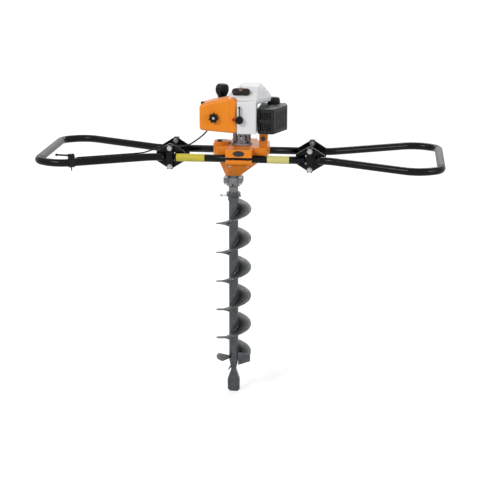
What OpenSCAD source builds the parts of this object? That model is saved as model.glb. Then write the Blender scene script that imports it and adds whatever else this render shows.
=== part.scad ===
// Earth auger for two people: petrol engine, gear case, tube frame with folding handles, drill.
// Millimetres. The origin is the tip of the drill, on the drill's axis. Z runs up the drill,
// X runs to the right handle and Y runs to the back.

/* [Drill] */
// Length of the centre point below the drill tube
point_len = 118; // [100:1:150]
// Width of the centre point's spade
point_w = 42; // [30:1:46]
// Thickness of the centre point's spade
point_t = 18; // [12:1:24]
// Diameter of the waist above the spade
waist_d = 17.5; // [12:0.5:22]
// Length of the drill tube with its socket
drill_tube_len = 601; // [450:1:900]
// Outer diameter of the drill tube
drill_tube_d = 32; // [30:0.5:38]
// Diameter of the collar round the socket
socket_d = 48; // [42:1:56]
// Height of the collar round the socket
socket_h = 28; // [22:1:50]
// Outer diameter of the flight
flight_d = 120; // [90:1:200]
// Rise of the flight in one turn
flight_pitch = 102.5; // [80:0.5:140]
// Thickness of the flight
flight_t = 4; // [3:0.5:6]
// Distance from the collar to the top end of the flight
flight_top_gap = 3; // [3:1:40]
// Distance from the bottom of the drill tube to the bottom end of the flight
flight_bottom_gap = 26; // [5:1:40]
// Drop of the cutter blade below the flight
blade_len = 25; // [20:1:36]
// Thickness of the cutter blade
blade_t = 6; // [4:0.5:8]
// Diameter of the lock pin
pin_d = 8; // [6:0.5:10]
// Depth of the lock pin below the top of the socket
pin_drop = 12; // [10:1:18]

/* [Spindle] */
// Diameter of the adapter's shank in the drill tube
shank_d = 24; // [18:0.5:25]
// Length of the adapter's shank in the drill tube
shank_len = 55; // [40:1:80]
// Diameter of the neck between flange and drill
neck_d = 32; // [28:1:36]
// Length of the neck between flange and drill
neck_len = 20; // [12:1:40]
// Height of the adapter above its neck
adapter_h = 24; // [20:1:40]
// Diameter of the four flange ears
ear_d = 18; // [16:1:20]
// Diameter of the circle that the ears sit on
ear_circle_d = 54; // [52:1:64]
// Thickness of the ears
ear_t = 9; // [6:0.5:12]
// Diameter of the bolts through the ears
ear_bolt_d = 8; // [5:0.5:8]
// Diameter of the spindle in its bearings
spindle_d = 25; // [20:1:26]

/* [Gear case] */
// Height of the lower half of the case
lower_case_h = 69; // [60:1:90]
// Height of the upper half of the case up to its deck
deck_h = 36; // [34:1:50]
// Reach of the case to the left of the drill axis
case_left = 67; // [62:1:90]
// Reach of the case to the right of the drill axis
case_right = 118; // [112:1:150]
// Width of the jaws that clamp the frame tubes
jaw_w = 86; // [70:1:110]
// Reach of the jaws beyond the axis of a frame tube
jaw_reach = 26; // [25:1:34]
// Gap between the upper and the lower jaw
jaw_gap = 9.5; // [3:0.5:11]
// Diameter of the jaw bolts
jaw_bolt_d = 6; // [5:0.5:6]
// Height of the raised left end above the deck
lobe_h = 9; // [8:1:30]
// Width of the post that carries the muffler
post_w = 27; // [20:1:36]

/* [Frame] */
// Outer diameter of the frame and handle tubes
tube_d = 25; // [20:0.5:26]
// Wall of the frame and handle tubes
tube_wall = 2.5; // [1.5:0.25:4]
// Distance between the axes of the front and rear tubes
tube_spacing = 148; // [146:1:180]
// Distance from the frame's middle to the hinge bolts
hinge_reach = 231; // [225:1:300]
// Gap between the ends of a frame tube and a handle tube
hinge_gap = 35; // [30:1:40]
// Length of the left marker band
left_band_len = 94; // [40:1:96]
// Length of the right marker band
right_band_len = 72; // [40:1:90]
// Thickness of the marker bands
band_t = 0.4; // [0.2:0.1:1]

/* [Hinges] */
// Width of the six-sided hinge plates
plate_w = 94; // [90:1:110]
// Height of the six-sided hinge plates
plate_h = 90; // [86:1:110]
// Length of the upright sides of the hinge plates
plate_side = 31; // [20:1:36]
// Thickness of the hinge plates
plate_t = 5; // [3:0.5:6]
// Distance between pivot bolt and lock bolt
bolt_spread = 61.2; // [54:0.2:66]
// Diameter of the hinge bolts
hinge_bolt_d = 8; // [6:0.5:10]
// Width of the clamp blocks between the tube ends
block_w = 18; // [14:1:19]
// Diameter of the small plate screws
plate_screw_d = 5; // [3:0.5:5]

/* [Handles] */
// Distance from the frame's middle to the axis of a handle's end bar
end_reach = 654; // [580:1:760]
// Distance between the corners of a handle's end bar
end_width = 340; // [240:1:360]
// Distance from the end bar back to the knees
knee_setback = 76; // [60:1:110]
// How far each knee stands outside the end bar's corner
knee_spread = 44; // [10:1:60]
// Length of the straight lead beside the hinge plate
lead_len = 41.5; // [30:0.5:60]
// Bend radius at the end of the lead
lead_r = 100; // [60:1:120]
// Bend radius of the knees
knee_r = 90; // [60:1:160]
// Bend radius of the corners
corner_r = 48; // [35:1:60]
// Wall of the rubber grips
grip_wall = 2; // [1.5:0.5:8]
// Distance from the frame's middle to the throttle clamp
throttle_reach = 534; // [440:1:545]
// Length of the throttle lever
throttle_lever_len = 48; // [35:1:60]

/* [Engine] */
// Height of the clutch housing
clutch_h = 48; // [44:1:60]
// Outer diameter of the clutch housing
clutch_d = 53; // [51:1:58]
// Outer diameter of the crankcase
crankcase_d = 64; // [60:1:68]
// Height of the cylinder's axis above the clutch housing
crank_rise = 41; // [38:1:46]
// Cylinder bore
bore_d = 41; // [38:0.5:42]
// Stroke of the piston
stroke = 30; // [24:1:30]
// Diameter of the cooling fins
fin_d = 52; // [49:1:52]
// Turn of the cylinder towards the muffler
cylinder_turn = 20; // [16:1:22]
// Diameter of the flywheel fan
flywheel_d = 72; // [60:1:74]

/* [Covers] */
// Width of the filter cover
cover_w = 121; // [115:1:126]
// Height of the filter cover at its right end
cover_h = 114; // [106:1:118]
// Depth of the filter cover
cover_depth = 60; // [56:1:70]
// Wall of the moulded covers
cover_wall = 2.5; // [2:0.25:3]
// Width of the cylinder shroud
shroud_w = 62; // [60:1:66]
// Height of the cylinder shroud
shroud_h = 105; // [100:1:110]
// Height of the starter cover
starter_h = 47; // [44:1:60]
// Diameter of the star knob
knob_d = 32; // [26:1:40]
// Diameter of the fuel cap
cap_d = 46; // [40:1:47]
// Height of the fuel cap
cap_h = 44; // [36:1:50]
// Height of the fuel tank
tank_h = 46; // [40:1:60]
// Height of the muffler guard
guard_h = 82; // [76:1:90]
// Width of the slots in the muffler guard
slot_w = 4.5; // [2.5:0.5:5]

/* [Hidden] */
$fn = 64;

// Clearances: fixed seat, running fit, loose gap between pieces that pass each other
seat = 0.02;
run = 0.05;
gap = 0.3;

// Heights, stacked up from the tip
tube_bottom_z = point_len;
socket_z = tube_bottom_z + drill_tube_len;
adapter_z = socket_z + neck_len;
joint_z = adapter_z + adapter_h;
spindle_boss_h = 8;
flange_gap = 1;
case_z = joint_z + ear_t + spindle_boss_h + flange_gap;
split_z = case_z + lower_case_h;
deck_z = split_z + deck_h;
engine_z = deck_z + clutch_h;
crank_z = engine_z + crank_rise;
fan_rise = 100;
fan_z = engine_z + fan_rise;
fan_plate_t = 4;
starter_z = fan_z + fan_plate_t;

// Gear train: two spur stages from the clutch drum over the layshaft to the spindle
pressure = 25;
addendum = 0.8;
dedendum = 1.1;
backlash = 0.4;
flank_steps = 4;
fast_module = 1.25;
fast_pinion = 10;
fast_gear = 44;
slow_module = 2;
slow_pinion = 10;
slow_gear = 52;
layshaft_x = slow_module * (slow_pinion + slow_gear) / 2;
engine_x = layshaft_x - fast_module * (fast_pinion + fast_gear) / 2;
slow_tip_r = slow_module * (slow_gear / 2 + addendum);
fast_tip_r = fast_module * (fast_gear / 2 + addendum);
slow_z = split_z + 3;
slow_face = 11.5;
fast_z = split_z + 16.5;
fast_face = 8;
layshaft_d = 10;
layshaft_seat_d = 13;
drum_shaft_d = 15;
chamber_gap = 1.5;
chamber_h = fast_z - split_z + fast_face + 1;

// Ball bearings: outer diameter and width
spindle_top_bearing = [52, 15];
spindle_low_bearing = [42, 9];
layshaft_bearing = [26, 8];
drum_bearing = [32, 9];
crank_bearing = [35, 11];
seal_w = 7;
layshaft_bottom_z = split_z - layshaft_bearing[1];
layshaft_top_z = split_z + chamber_h + layshaft_bearing[1];

// Frame: the tube axes lie at the split of the gear case, mirrored about the engine's axis
tube_y = tube_spacing / 2;
tube_r = tube_d / 2;
tube_end = hinge_reach - hinge_gap / 2;
case_half_depth = tube_y - tube_r - 1;
jaw_front = tube_y + jaw_reach;
jaw_bolt_y = tube_y + tube_r + jaw_bolt_d / 2 + 4;
jaw_bolt_x = jaw_w / 2 - 13;
jaw_bolt_low = 22;
jaw_bolt_high = 30;

// Hinges: u runs to the frame's middle, d runs from the tube axis to the inside
bolt_h = bolt_spread / 2;
plate_corner_r = 12.2;
handle_plate_d = tube_r;
frame_plate_d = handle_plate_d + plate_t + gap;
nut_d = frame_plate_d + plate_t;
block_d = 5;
washer_r = hinge_bolt_d * 1.15;
washer_t = 1.6;
bolt_head_t = hinge_bolt_d * 0.66;
nut_t = hinge_bolt_d * 0.8;
bolt_tail = 2;

// Handle plan, from the hinge to the end bar
end_half = end_width / 2;
handle_plan = [
  [-(hinge_reach + hinge_gap / 2), -tube_y],
  [-(hinge_reach + hinge_gap / 2 + lead_len), -tube_y],
  [-(end_reach - knee_setback), -(end_half + knee_spread)],
  [-end_reach, -end_half],
  [-end_reach, end_half],
  [-(end_reach - knee_setback), end_half + knee_spread],
  [-(hinge_reach + hinge_gap / 2 + lead_len), tube_y],
  [-(hinge_reach + hinge_gap / 2), tube_y]
];
handle_bends = [0, lead_r, knee_r, corner_r, corner_r, knee_r, lead_r, 0];

// Throttle: it sits on the straight before the knee, on the knee's bend or past it
throttle_x = -throttle_reach;
knee_r_used = bend_r(handle_plan, handle_bends, 2);
knee_run = tangent_len(handle_plan, handle_bends, 2);
knee_foot = handle_plan[2] - polar(knee_run, heading(handle_plan, 1));
knee_end = handle_plan[2] + polar(knee_run, heading(handle_plan, 2));
knee_middle = knee_foot + polar(knee_r_used, heading(handle_plan, 1) - 90);
before_knee = throttle_x >= knee_foot[0];
past_knee = throttle_x <= knee_end[0];
knee_share = (throttle_x - knee_middle[0]) / knee_r_used;
throttle_at = before_knee ? on_line(handle_plan[1], handle_plan[2], throttle_x)
  : past_knee ? on_line(handle_plan[2], handle_plan[3], throttle_x)
  : knee_middle + polar(knee_r_used, -acos(knee_share));
throttle_turn = before_knee ? heading(handle_plan, 1)
  : past_knee ? heading(handle_plan, 2)
  : -90 - acos(knee_share);
throttle_pivot_h = tube_r + 11;

// Throttle cable: hand-picked points above the case's split, on the handle and on to the carburettor
cable_d = 5;
cable_sides = 8;
handle_cable_route = [
  [-494, -186.9, 15.2], [-450, -165.5, 15.2], [-405, -143.6, 15.2], [-360, -121.8, 15.2],
  [-320, -102.3, 15.2], [-292, -88.4, 15.8], [-277, -75, 18], [-264, -59, 20.5],
  [-250, -46, 23.5], [-233, -37, 28], [-217, -34, 30.4], [-206.5, -34, 30.6]
];
engine_cable_route = [
  [-199, -34, 30.6], [-182, -35, 30.7], [-160, -37, 31.5], [-142, -36, 37],
  [-122, -31, 49], [-102, -25, 64], [-88, -22, 78], [-77, -25, 95],
  [-69, -30, 112], [-65, -33, 126]
];
cable_steps = 3;

// Engine: places of the covers, measured from the engine's axis and the clutch housing's top
crankcase_r = crankcase_d / 2;
crankcase_h = 76;
crank_r = stroke / 2;
chamber_r = 24;
web_r = 22;
web_t = 8;
pin_gap = 12;
crank_d = 15;
cylinder_foot = 36;
crown_tdc = 78;
piston_h = 20;
head_top = 92;
fin_pitch = 6;
fin_t = 2;
plug_d = 14;
drum_d = 42;
drum_wall = 2;
drum_z = deck_z + 3;
drum_h = 23;
drum_floor = 3;
shoe_z = drum_z + drum_floor + 2;
shoe_h = 16;
hub_d = 20;
housing_wall = 3.5;
housing_flange_d = 70;
housing_flange_t = 6;
housing_screw_r = 31;
housing_screw_d = 5;

cover_right = engine_x - 4.25;
cover_left = cover_right - cover_w;
cover_low = engine_z + 8;
base_y = -58;
base_t = 4;
cover_y = base_y - base_t;
cover_front = cover_y - cover_depth;
knob_x = cover_left + 48;
knob_z = engine_z + 60;
knob_t = 13;
stud_d = 8;
carb_x = [cover_left + 43, cover_left + 79];
carb_y = [base_y, base_y + 44];
carb_z = [engine_z + 31, engine_z + 76];
throat_d = 18;
throat_x = (carb_x[0] + carb_x[1]) / 2;
throat_z = (carb_z[0] + carb_z[1]) / 2;
manifold_depth = 20;
pad_x = engine_x - crankcase_r - 4;
shroud_left = cover_right + 0.5;
shroud_right = shroud_left + shroud_w;
shroud_low = engine_z + 7;
shroud_front = cover_front + 4;
shroud_back = -40;
exhaust_side = -60;

// Starter cover: middles of the round corners of its foot and of its flat top
starter_skirt = 12;
starter_foot = [[-35, -76], [54, -76], [88, -22], [88, 14], [48, 74], [-35, 74]];
starter_top = [[10, -34], [52, -34], [52, 36], [10, 36]];
foot_r = 8;
top_r = 6;
post_d = 12;
pulley_d = 36;
pulley_t = 8;
pulley_z = starter_z + 17;
flywheel_z = starter_z + 2;
flywheel_t = 12;
grip_x = engine_x + 5;
grip_len = 59;
grip_w = 23;
grip_t = 15;
slope_depth = starter_top[0][1] - top_r - starter_foot[0][1] + foot_r;
starter_slope = atan((starter_h - starter_skirt) / slope_depth);
rope_d = 5;

choke_x = cover_right + 10;
choke_z = engine_z + 54;
choke_d = 25;
choke_lever_len = 40;
stop_x = cover_right - 9.5;
stop_z = engine_z + 55;
stop_d = 10;
tank_left = cover_left;
tank_w = 75;
tank_y = [8, 104];
tank_low = engine_z + 8;
neck_inset = 56;
neck_x = tank_left + neck_inset;
neck_y = 30;
filler_d = 24;
filler_h = 48;
tank_neck_d = 18;
tank_neck_h = 12;

// Muffler guard: plan corners round the engine's axis, clockwise from the exhaust side
guard_plan = [[60.5, -98], [113, -104], [152, -12], [144, 26], [64, 26]];
guard_middle = [106, -34];
guard_wall = 2.5;
guard_z = engine_z + 5;
post_x = case_right - engine_x - post_w;
post_depth = 30;
post_y = -50;
post_h = guard_z - deck_z;

// Shared shapes
module rod(d, z1, z2) {
  translate([0, 0, z1])
    cylinder(d = d, h = z2 - z1);
}

module ring(outer, inner, z1, z2) {
  difference() {
    rod(outer, z1, z2);
    rod(inner, z1 - 1, z2 + 1);
  }
}

module block(x1, x2, y1, y2, z1, z2) {
  translate([x1, y1, z1])
    cube([x2 - x1, y2 - y1, z2 - z1]);
}

// Stands a child's Z along the front, from the y given
module to_front(x, y, z) {
  translate([x, y, z])
    rotate([90, 0, 0])
      children();
}

// Lies a child's Z along X
module along_x(x, y, z) {
  translate([x, y, z])
    rotate([0, 90, 0])
      children();
}

// A plate drawn in X and Z, from y1 to y2
module upright_plate(y1, y2) {
  to_front(0, y2, 0)
    linear_extrude(y2 - y1)
      children();
}

// A shape drawn in Y and Z, from x1 to x2
module cross_plate(x1, x2) {
  translate([x1, 0, 0])
    rotate([90, 0, 90])
      linear_extrude(x2 - x1)
        children();
}

function polar(r, a) = [r * cos(a), r * sin(a)];
function on_line(a, b, x) = a + (b - a) * (x - a[0]) / (b[0] - a[0]);
function involute(a) = tan(a) * 180 / PI - a;

// Outline of a spur gear, tooth by tooth
function gear_outline(teeth, size) =
  let (
    pitch_r = teeth * size / 2,
    base_r = pitch_r * cos(pressure),
    tip_r = pitch_r + addendum * size,
    root_r = pitch_r - dedendum * size,
    start_r = max(base_r, root_r),
    thin = backlash / 4 / pitch_r * 180 / PI,
    half = 90 / teeth + involute(pressure) - thin,
    radii = [for (k = [0:flank_steps]) start_r + (tip_r - start_r) * k / flank_steps],
    angles = [for (r = radii) half - involute(acos(base_r / r))],
    has_root = root_r < start_r - 0.01
  )
  [for (i = [0:teeth - 1])
    let (turn = i * 360 / teeth)
    each concat(
      has_root ? [polar(root_r, turn - angles[0])] : [],
      [for (k = [0:flank_steps]) polar(radii[k], turn - angles[k])],
      [for (k = [flank_steps:-1:0]) polar(radii[k], turn + angles[k])],
      has_root ? [polar(root_r, turn + angles[0])] : []
    )];

module spur_gear(teeth, size, z, face, turn) {
  translate([0, 0, z])
    rotate([0, 0, turn])
      linear_extrude(face)
        polygon(gear_outline(teeth, size));
}

// Planar path with rounded bends
function heading(points, i) = atan2(points[i + 1][1] - points[i][1], points[i + 1][0] - points[i][0]);
function bend(points, i) =
  let (turn = heading(points, i) - heading(points, i - 1))
  turn > 180 ? turn - 360 : turn < -180 ? turn + 360 : turn;
function is_bend(points, i) = i > 0 && i < len(points) - 1;
function bend_r(points, radii, i) =
  let (room = 0.47 * min(norm(points[i] - points[i - 1]), norm(points[i + 1] - points[i])))
  min(radii[i], room / tan(abs(bend(points, i)) / 2));
function tangent_len(points, radii, i) =
  is_bend(points, i) ? bend_r(points, radii, i) * tan(abs(bend(points, i)) / 2) : 0;

module path_rod(points, radii, d) {
  for (i = [0:len(points) - 2])
    path_straight(points, radii, i, d);
  for (i = [1:len(points) - 2])
    path_bend(points, radii, i)
      circle(d = d);
}

// One straight of a path, with a low bead over each joint to a bend
bead_t = 0.05;
bead_len = 1;
module path_straight(points, radii, i, d) {
  start = tangent_len(points, radii, i);
  end = norm(points[i + 1] - points[i]) - tangent_len(points, radii, i + 1);
  translate([points[i][0], points[i][1], 0])
    rotate([0, 0, heading(points, i)])
      along_x(0, 0, 0) {
        rod(d, start, end);
        if (is_bend(points, i))
          rod(d + 2 * bead_t, start - bead_len / 2, start + bead_len / 2);
        if (is_bend(points, i + 1))
          rod(d + 2 * bead_t, end - bead_len / 2, end + bead_len / 2);
      }
}

// Sweeps a profile round one bend of a path
module path_bend(points, radii, i) {
  turn = heading(points, i - 1);
  angle = bend(points, i);
  r = bend_r(points, radii, i);
  foot = points[i] - polar(tangent_len(points, radii, i), turn);
  middle = foot + polar(r, turn + sign(angle) * 90);
  first = angle > 0 ? turn - 90 : turn + 90 + angle;
  translate([middle[0], middle[1], 0])
    rotate([0, 0, first])
      rotate_extrude(angle = abs(angle))
        translate([r, 0])
          children();
}

// Swept cord: a smooth curve through hand-picked points, ringed with flat sides
function curve_point(p, i, t) =
  let (
    a = p[max(i - 1, 0)],
    b = p[i],
    c = p[i + 1],
    d = p[min(i + 2, len(p) - 1)]
  )
  0.5 * (2 * b + (c - a) * t + (2 * a - 5 * b + 4 * c - d) * t * t + (3 * b - a - 3 * c + d) * t * t * t);
function curve(p, steps) = concat(
  [for (i = [0:len(p) - 2], k = [0:steps - 1]) curve_point(p, i, k / steps)],
  [p[len(p) - 1]]
);
function unit(v) = v / norm(v);

module cord(route, d, sides, steps) {
  p = curve(route, steps);
  last = len(p) - 1;
  points = [for (i = [0:last])
    let (
      along = unit(p[min(i + 1, last)] - p[max(i - 1, 0)]),
      across = unit(cross(along, [0, 1, 0])),
      up = cross(across, along)
    )
    for (k = [0:sides - 1])
      p[i] + d / 2 * (cos(k * 360 / sides) * across + sin(k * 360 / sides) * up)];
  walls = [for (i = [0:last - 1], k = [0:sides - 1])
    let (
      a = i * sides + k,
      b = i * sides + (k + 1) % sides
    )
    each [[a, b, b + sides], [a, b + sides, a + sides]]];
  first_cap = [for (k = [1:sides - 2]) [0, k + 1, k]];
  last_cap = [for (k = [1:sides - 2]) [last * sides, last * sides + k, last * sides + k + 1]];
  polyhedron(points, concat(walls, first_cap, last_cap));
}

// Frame and hinges
module frame_place() {
  translate([engine_x, 0, split_z])
    children();
}

module both_sides() {
  children();
  mirror([1, 0, 0])
    children();
}

module front_and_rear() {
  children();
  mirror([0, 1, 0])
    children();
}

// Places a child at the front left hinge: X to the frame's middle, Y to the inside
module left_hinge() {
  translate([-hinge_reach, -tube_y, 0])
    children();
}

module all_hinges() {
  frame_place()
    both_sides()
      front_and_rear()
        left_hinge()
          children();
}

module hinge_pair() {
  for (h = [-bolt_h, bolt_h])
    translate([0, 0, h])
      children();
}

function edge_turn() = atan2(plate_w, plate_h - plate_side);
function corner_arc(h, from, to) =
  [for (k = [0:6]) [0, h] + polar(plate_corner_r, from + (to - from) * k / 6)];
function full_plate() = concat(
  corner_arc(bolt_h, 90 - (90 - edge_turn()), 90 + (90 - edge_turn())),
  [[-plate_w / 2, plate_side / 2], [-plate_w / 2, -plate_side / 2]],
  corner_arc(-bolt_h, 270 - (90 - edge_turn()), 270 + (90 - edge_turn())),
  [[plate_w / 2, -plate_side / 2], [plate_w / 2, plate_side / 2]]
);
half_plate_edge = 7;
function half_plate() = concat(
  corner_arc(bolt_h, 10, 90 + (90 - edge_turn())),
  [[-plate_w / 2, plate_side / 2], [-plate_w / 2, -plate_side / 2]],
  corner_arc(-bolt_h, 270 - (90 - edge_turn()), 270),
  [[half_plate_edge, -bolt_h - plate_corner_r + 2], [half_plate_edge, bolt_h - plate_corner_r]]
);

module frame_tubes() {
  color("#1b1b1d")
    frame_place()
      front_and_rear()
        along_x(-tube_end, -tube_y, 0)
          ring(tube_d, tube_d - 2 * tube_wall, 0, 2 * tube_end);
}

spacer_start = hinge_gap / 2 + 1.5;
spacer_half_h = 8;
plate_screw_u = 13;
plate_screw_h = [10, -13];

left_band_start = tube_end - 5;
right_band_start = 92;
module marker_bands() {
  color("#d9cf4a")
    frame_place() {
      difference() {
        along_x(-left_band_start, -tube_y, 0)
          ring(tube_d + 2 * band_t, tube_d + 2 * seat, 0, left_band_len);
        left_hinge()
          block(0, plate_w / 2, tube_r / 2, tube_d, -spacer_half_h - gap, spacer_half_h + gap);
      }
      along_x(right_band_start, -tube_y, 0)
        ring(tube_d + 2 * band_t, tube_d + 2 * seat, 0, right_band_len);
    }
}

module frame_plate() {
  difference() {
    union() {
      upright_plate(frame_plate_d, frame_plate_d + plate_t)
        polygon(full_plate());
      block(spacer_start, plate_w / 2 - 2, tube_r, frame_plate_d + 0.5, -spacer_half_h, spacer_half_h);
    }
    hinge_pair()
      to_front(0, nut_d + 1, 0)
        cylinder(d = hinge_bolt_d + 2 * seat, h = plate_t + 2);
    for (h = plate_screw_h)
      to_front(plate_screw_u, nut_d + 1, h)
        cylinder(d = plate_screw_d + 2 * seat, h = plate_t + 2);
  }
}

module frame_hinge_plates() {
  color("#232325")
    all_hinges()
      frame_plate();
}

notch_lift = 1.5;
module handle_plate() {
  difference() {
    upright_plate(handle_plate_d, handle_plate_d + plate_t)
      polygon(half_plate());
    to_front(0, handle_plate_d + plate_t + 1, bolt_h)
      cylinder(d = hinge_bolt_d + 2 * run, h = plate_t + 2);
    to_front(0, handle_plate_d + plate_t + 1, -bolt_h)
      cylinder(d = hinge_bolt_d + 2 * gap, h = plate_t + 2);
    block(0, 2 * half_plate_edge, handle_plate_d - 1, handle_plate_d + plate_t + 1,
      -bolt_h - hinge_bolt_d / 2 - gap, -bolt_h + hinge_bolt_d / 2 + gap + notch_lift);
  }
}

module handle_plates() {
  color("#232325")
    frame_place()
      front_and_rear()
        left_hinge()
          handle_plate();
}

module mirrored_side() {
  translate([2 * engine_x, 0, 0])
    mirror([1, 0, 0])
      children();
}

module left_handle_plates() {
  handle_plates();
}

module right_handle_plates() {
  mirrored_side()
    handle_plates();
}

module hex_rod(flats, z1, z2) {
  translate([0, 0, z1])
    cylinder(d = flats / cos(30), h = z2 - z1, $fn = 6);
}

bolt_length = block_d + nut_d + washer_t + nut_t + bolt_tail;

module hinge_bolt() {
  to_front(0, bolt_length - block_d, 0) {
    rod(hinge_bolt_d, 0, bolt_length);
    rod(2 * washer_r, bolt_length, bolt_length + washer_t);
    hex_rod(1.6 * hinge_bolt_d, bolt_length + washer_t, bolt_length + washer_t + bolt_head_t);
  }
}

module hinge_bolts() {
  color("#c9cbcd")
    all_hinges()
      hinge_pair()
        hinge_bolt();
}

module hinge_nut() {
  to_front(0, nut_d + washer_t + nut_t, 0)
    difference() {
      union() {
        hex_rod(1.6 * hinge_bolt_d, 0, nut_t);
        rod(2 * washer_r, nut_t, nut_t + washer_t);
      }
      rod(hinge_bolt_d + 2 * seat, -1, nut_t + washer_t + 1);
    }
}

module hinge_nuts() {
  color("#b9bbbd")
    all_hinges()
      hinge_pair()
        hinge_nut();
}

module clamp_block() {
  difference() {
    block(-block_w / 2, block_w / 2, -block_d, tube_r - gap, -bolt_h - washer_r, bolt_h + washer_r);
    hinge_pair()
      to_front(0, tube_r + 1, 0)
        cylinder(d = hinge_bolt_d + 2 * seat, h = tube_r + block_d + 2);
  }
}

module clamp_blocks() {
  color("#2d2d30")
    all_hinges()
      clamp_block();
}

plate_screw_head = 3;
module plate_screws() {
  color("#c9cbcd")
    all_hinges()
      for (h = plate_screw_h)
        to_front(plate_screw_u, nut_d + 1, h) {
          rod(plate_screw_d, 0, plate_t + 1);
          rod(1.6 * plate_screw_d, plate_t + 1, plate_t + 1 + plate_screw_head);
        }
}

// Handles
module handle_tube() {
  bore = tube_d - 2 * tube_wall;
  frame_place()
    difference() {
      path_rod(handle_plan, handle_bends, tube_d);
      path_rod(handle_plan, handle_bends, bore);
      front_and_rear()
        along_x(handle_plan[0][0] - 1, -tube_y, 0)
          cylinder(d = bore, h = 2);
    }
}

module left_handle_tube() {
  color("#1b1b1d")
    handle_tube();
}

module right_handle_tube() {
  color("#1b1b1d")
    mirrored_side()
      handle_tube();
}

// Sleeve over the straight of the end bar
module grip() {
  color("#55565a")
    frame_place()
      difference() {
        path_straight(handle_plan, handle_bends, 3, tube_d + 2 * grip_wall);
        path_rod(handle_plan, handle_bends, tube_d + 2 * seat);
      }
}

module left_grip() {
  grip();
}

module right_grip() {
  mirrored_side()
    grip();
}

// Throttle: x runs along the handle tube to its end
module throttle_place() {
  frame_place()
    translate([throttle_at[0], throttle_at[1], 0])
      rotate([0, 0, throttle_turn])
        children();
}

clamp_len = 20;
clamp_wall = 3;
cheek_w = 14;
lever_w = 6;
lever_t = 5;
lever_rise = 7;
throttle_pin_d = 5;
clamp_tail_d = 4;
clamp_tail = 14;

// The handle tube round its front knee, for the bore of what is clamped on it
module knee_tube(d) {
  frame_place() {
    path_straight(handle_plan, handle_bends, 1, d);
    path_straight(handle_plan, handle_bends, 2, d);
    path_bend(handle_plan, handle_bends, 2)
      circle(d = d);
  }
}

module throttle_clamp() {
  color("#26272a")
    difference() {
      throttle_place()
        difference() {
          union() {
            along_x(-clamp_len / 2, 0, 0)
              cylinder(d = tube_d + 2 * clamp_wall, h = clamp_len);
            block(-clamp_len / 2, clamp_len / 2, -cheek_w / 2, cheek_w / 2,
              tube_r, throttle_pivot_h + throttle_pin_d);
            rod(clamp_tail_d, -tube_r - clamp_tail, -tube_r - 1);
          }
          block(-clamp_len, clamp_len, -lever_w / 2 - gap, lever_w / 2 + gap,
            throttle_pivot_h - throttle_pin_d - gap, throttle_pivot_h + 2 * throttle_pin_d);
          to_front(0, cheek_w, throttle_pivot_h)
            cylinder(d = throttle_pin_d + 2 * run, h = 2 * cheek_w);
        }
      knee_tube(tube_d + 2 * seat);
    }
}

module throttle_lever() {
  color("#3a3b3e")
    throttle_place()
      translate([0, 0, throttle_pivot_h]) {
        to_front(0, cheek_w / 2, 0)
          cylinder(d = throttle_pin_d, h = cheek_w);
        to_front(0, lever_w / 2, 0)
          cylinder(d = 2 * throttle_pin_d, h = lever_w);
        rotate([0, -lever_rise, 0])
          block(0, throttle_lever_len, -lever_w / 2, lever_w / 2, -lever_t / 2, lever_t / 2);
        rotate([0, -lever_rise, 0])
          translate([throttle_lever_len, 0, 0])
            sphere(d = 1.5 * lever_w);
      }
}

module handle_cable() {
  color("#303134")
    translate([0, 0, split_z])
      cord(handle_cable_route, cable_d, cable_sides, cable_steps);
}

module engine_cable() {
  color("#303134")
    translate([0, 0, split_z])
      cord(engine_cable_route, cable_d, cable_sides, cable_steps);
}

// Gear case
module engine_place() {
  translate([engine_x, 0, 0])
    children();
}

module layshaft_place() {
  translate([layshaft_x, 0, 0])
    children();
}

case_corner_r = 14;
module case_plan() {
  intersection() {
    union() {
      circle(r = case_left);
      translate([0, -case_half_depth])
        square([case_right - case_corner_r, 2 * case_half_depth]);
      translate([0, -case_half_depth + case_corner_r])
        square([case_right, 2 * (case_half_depth - case_corner_r)]);
      for (side = [-1, 1])
        translate([case_right - case_corner_r, side * (case_half_depth - case_corner_r)])
          circle(r = case_corner_r);
    }
    translate([-2 * case_left, -case_half_depth])
      square([2 * case_left + 2 * case_right, 2 * case_half_depth]);
  }
}

module gear_chamber() {
  translate([0, 0, split_z - 1])
    cylinder(r = slow_tip_r + chamber_gap, h = chamber_h + 1);
  layshaft_place()
    translate([0, 0, split_z - 1])
      cylinder(r = fast_tip_r + chamber_gap, h = chamber_h + 1);
}

module tube_seats() {
  frame_place()
    front_and_rear()
      along_x(-tube_end, -tube_y, 0)
        cylinder(d = tube_d + 2 * seat, h = 2 * tube_end);
}

module jaw_bolt_places() {
  frame_place()
    both_sides()
      front_and_rear()
        translate([-jaw_bolt_x, -jaw_bolt_y, 0])
          children();
}

module housing_screw_places() {
  engine_place()
    for (turn = [45:90:315])
      rotate([0, 0, turn])
        translate([housing_screw_r, 0, deck_z + housing_flange_t])
          children();
}

lobe_r = 28;
lobe_x = -case_left + lobe_r + 2;
lobe_bolt_d = 8;
lobe_bolt = [lobe_x - 8, -12];
post_bolt_d = 8;
post_bolt_z = deck_z + 28;
blind_depth = 15;
screw_depth = 8;
jaw_top = 1;

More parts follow.
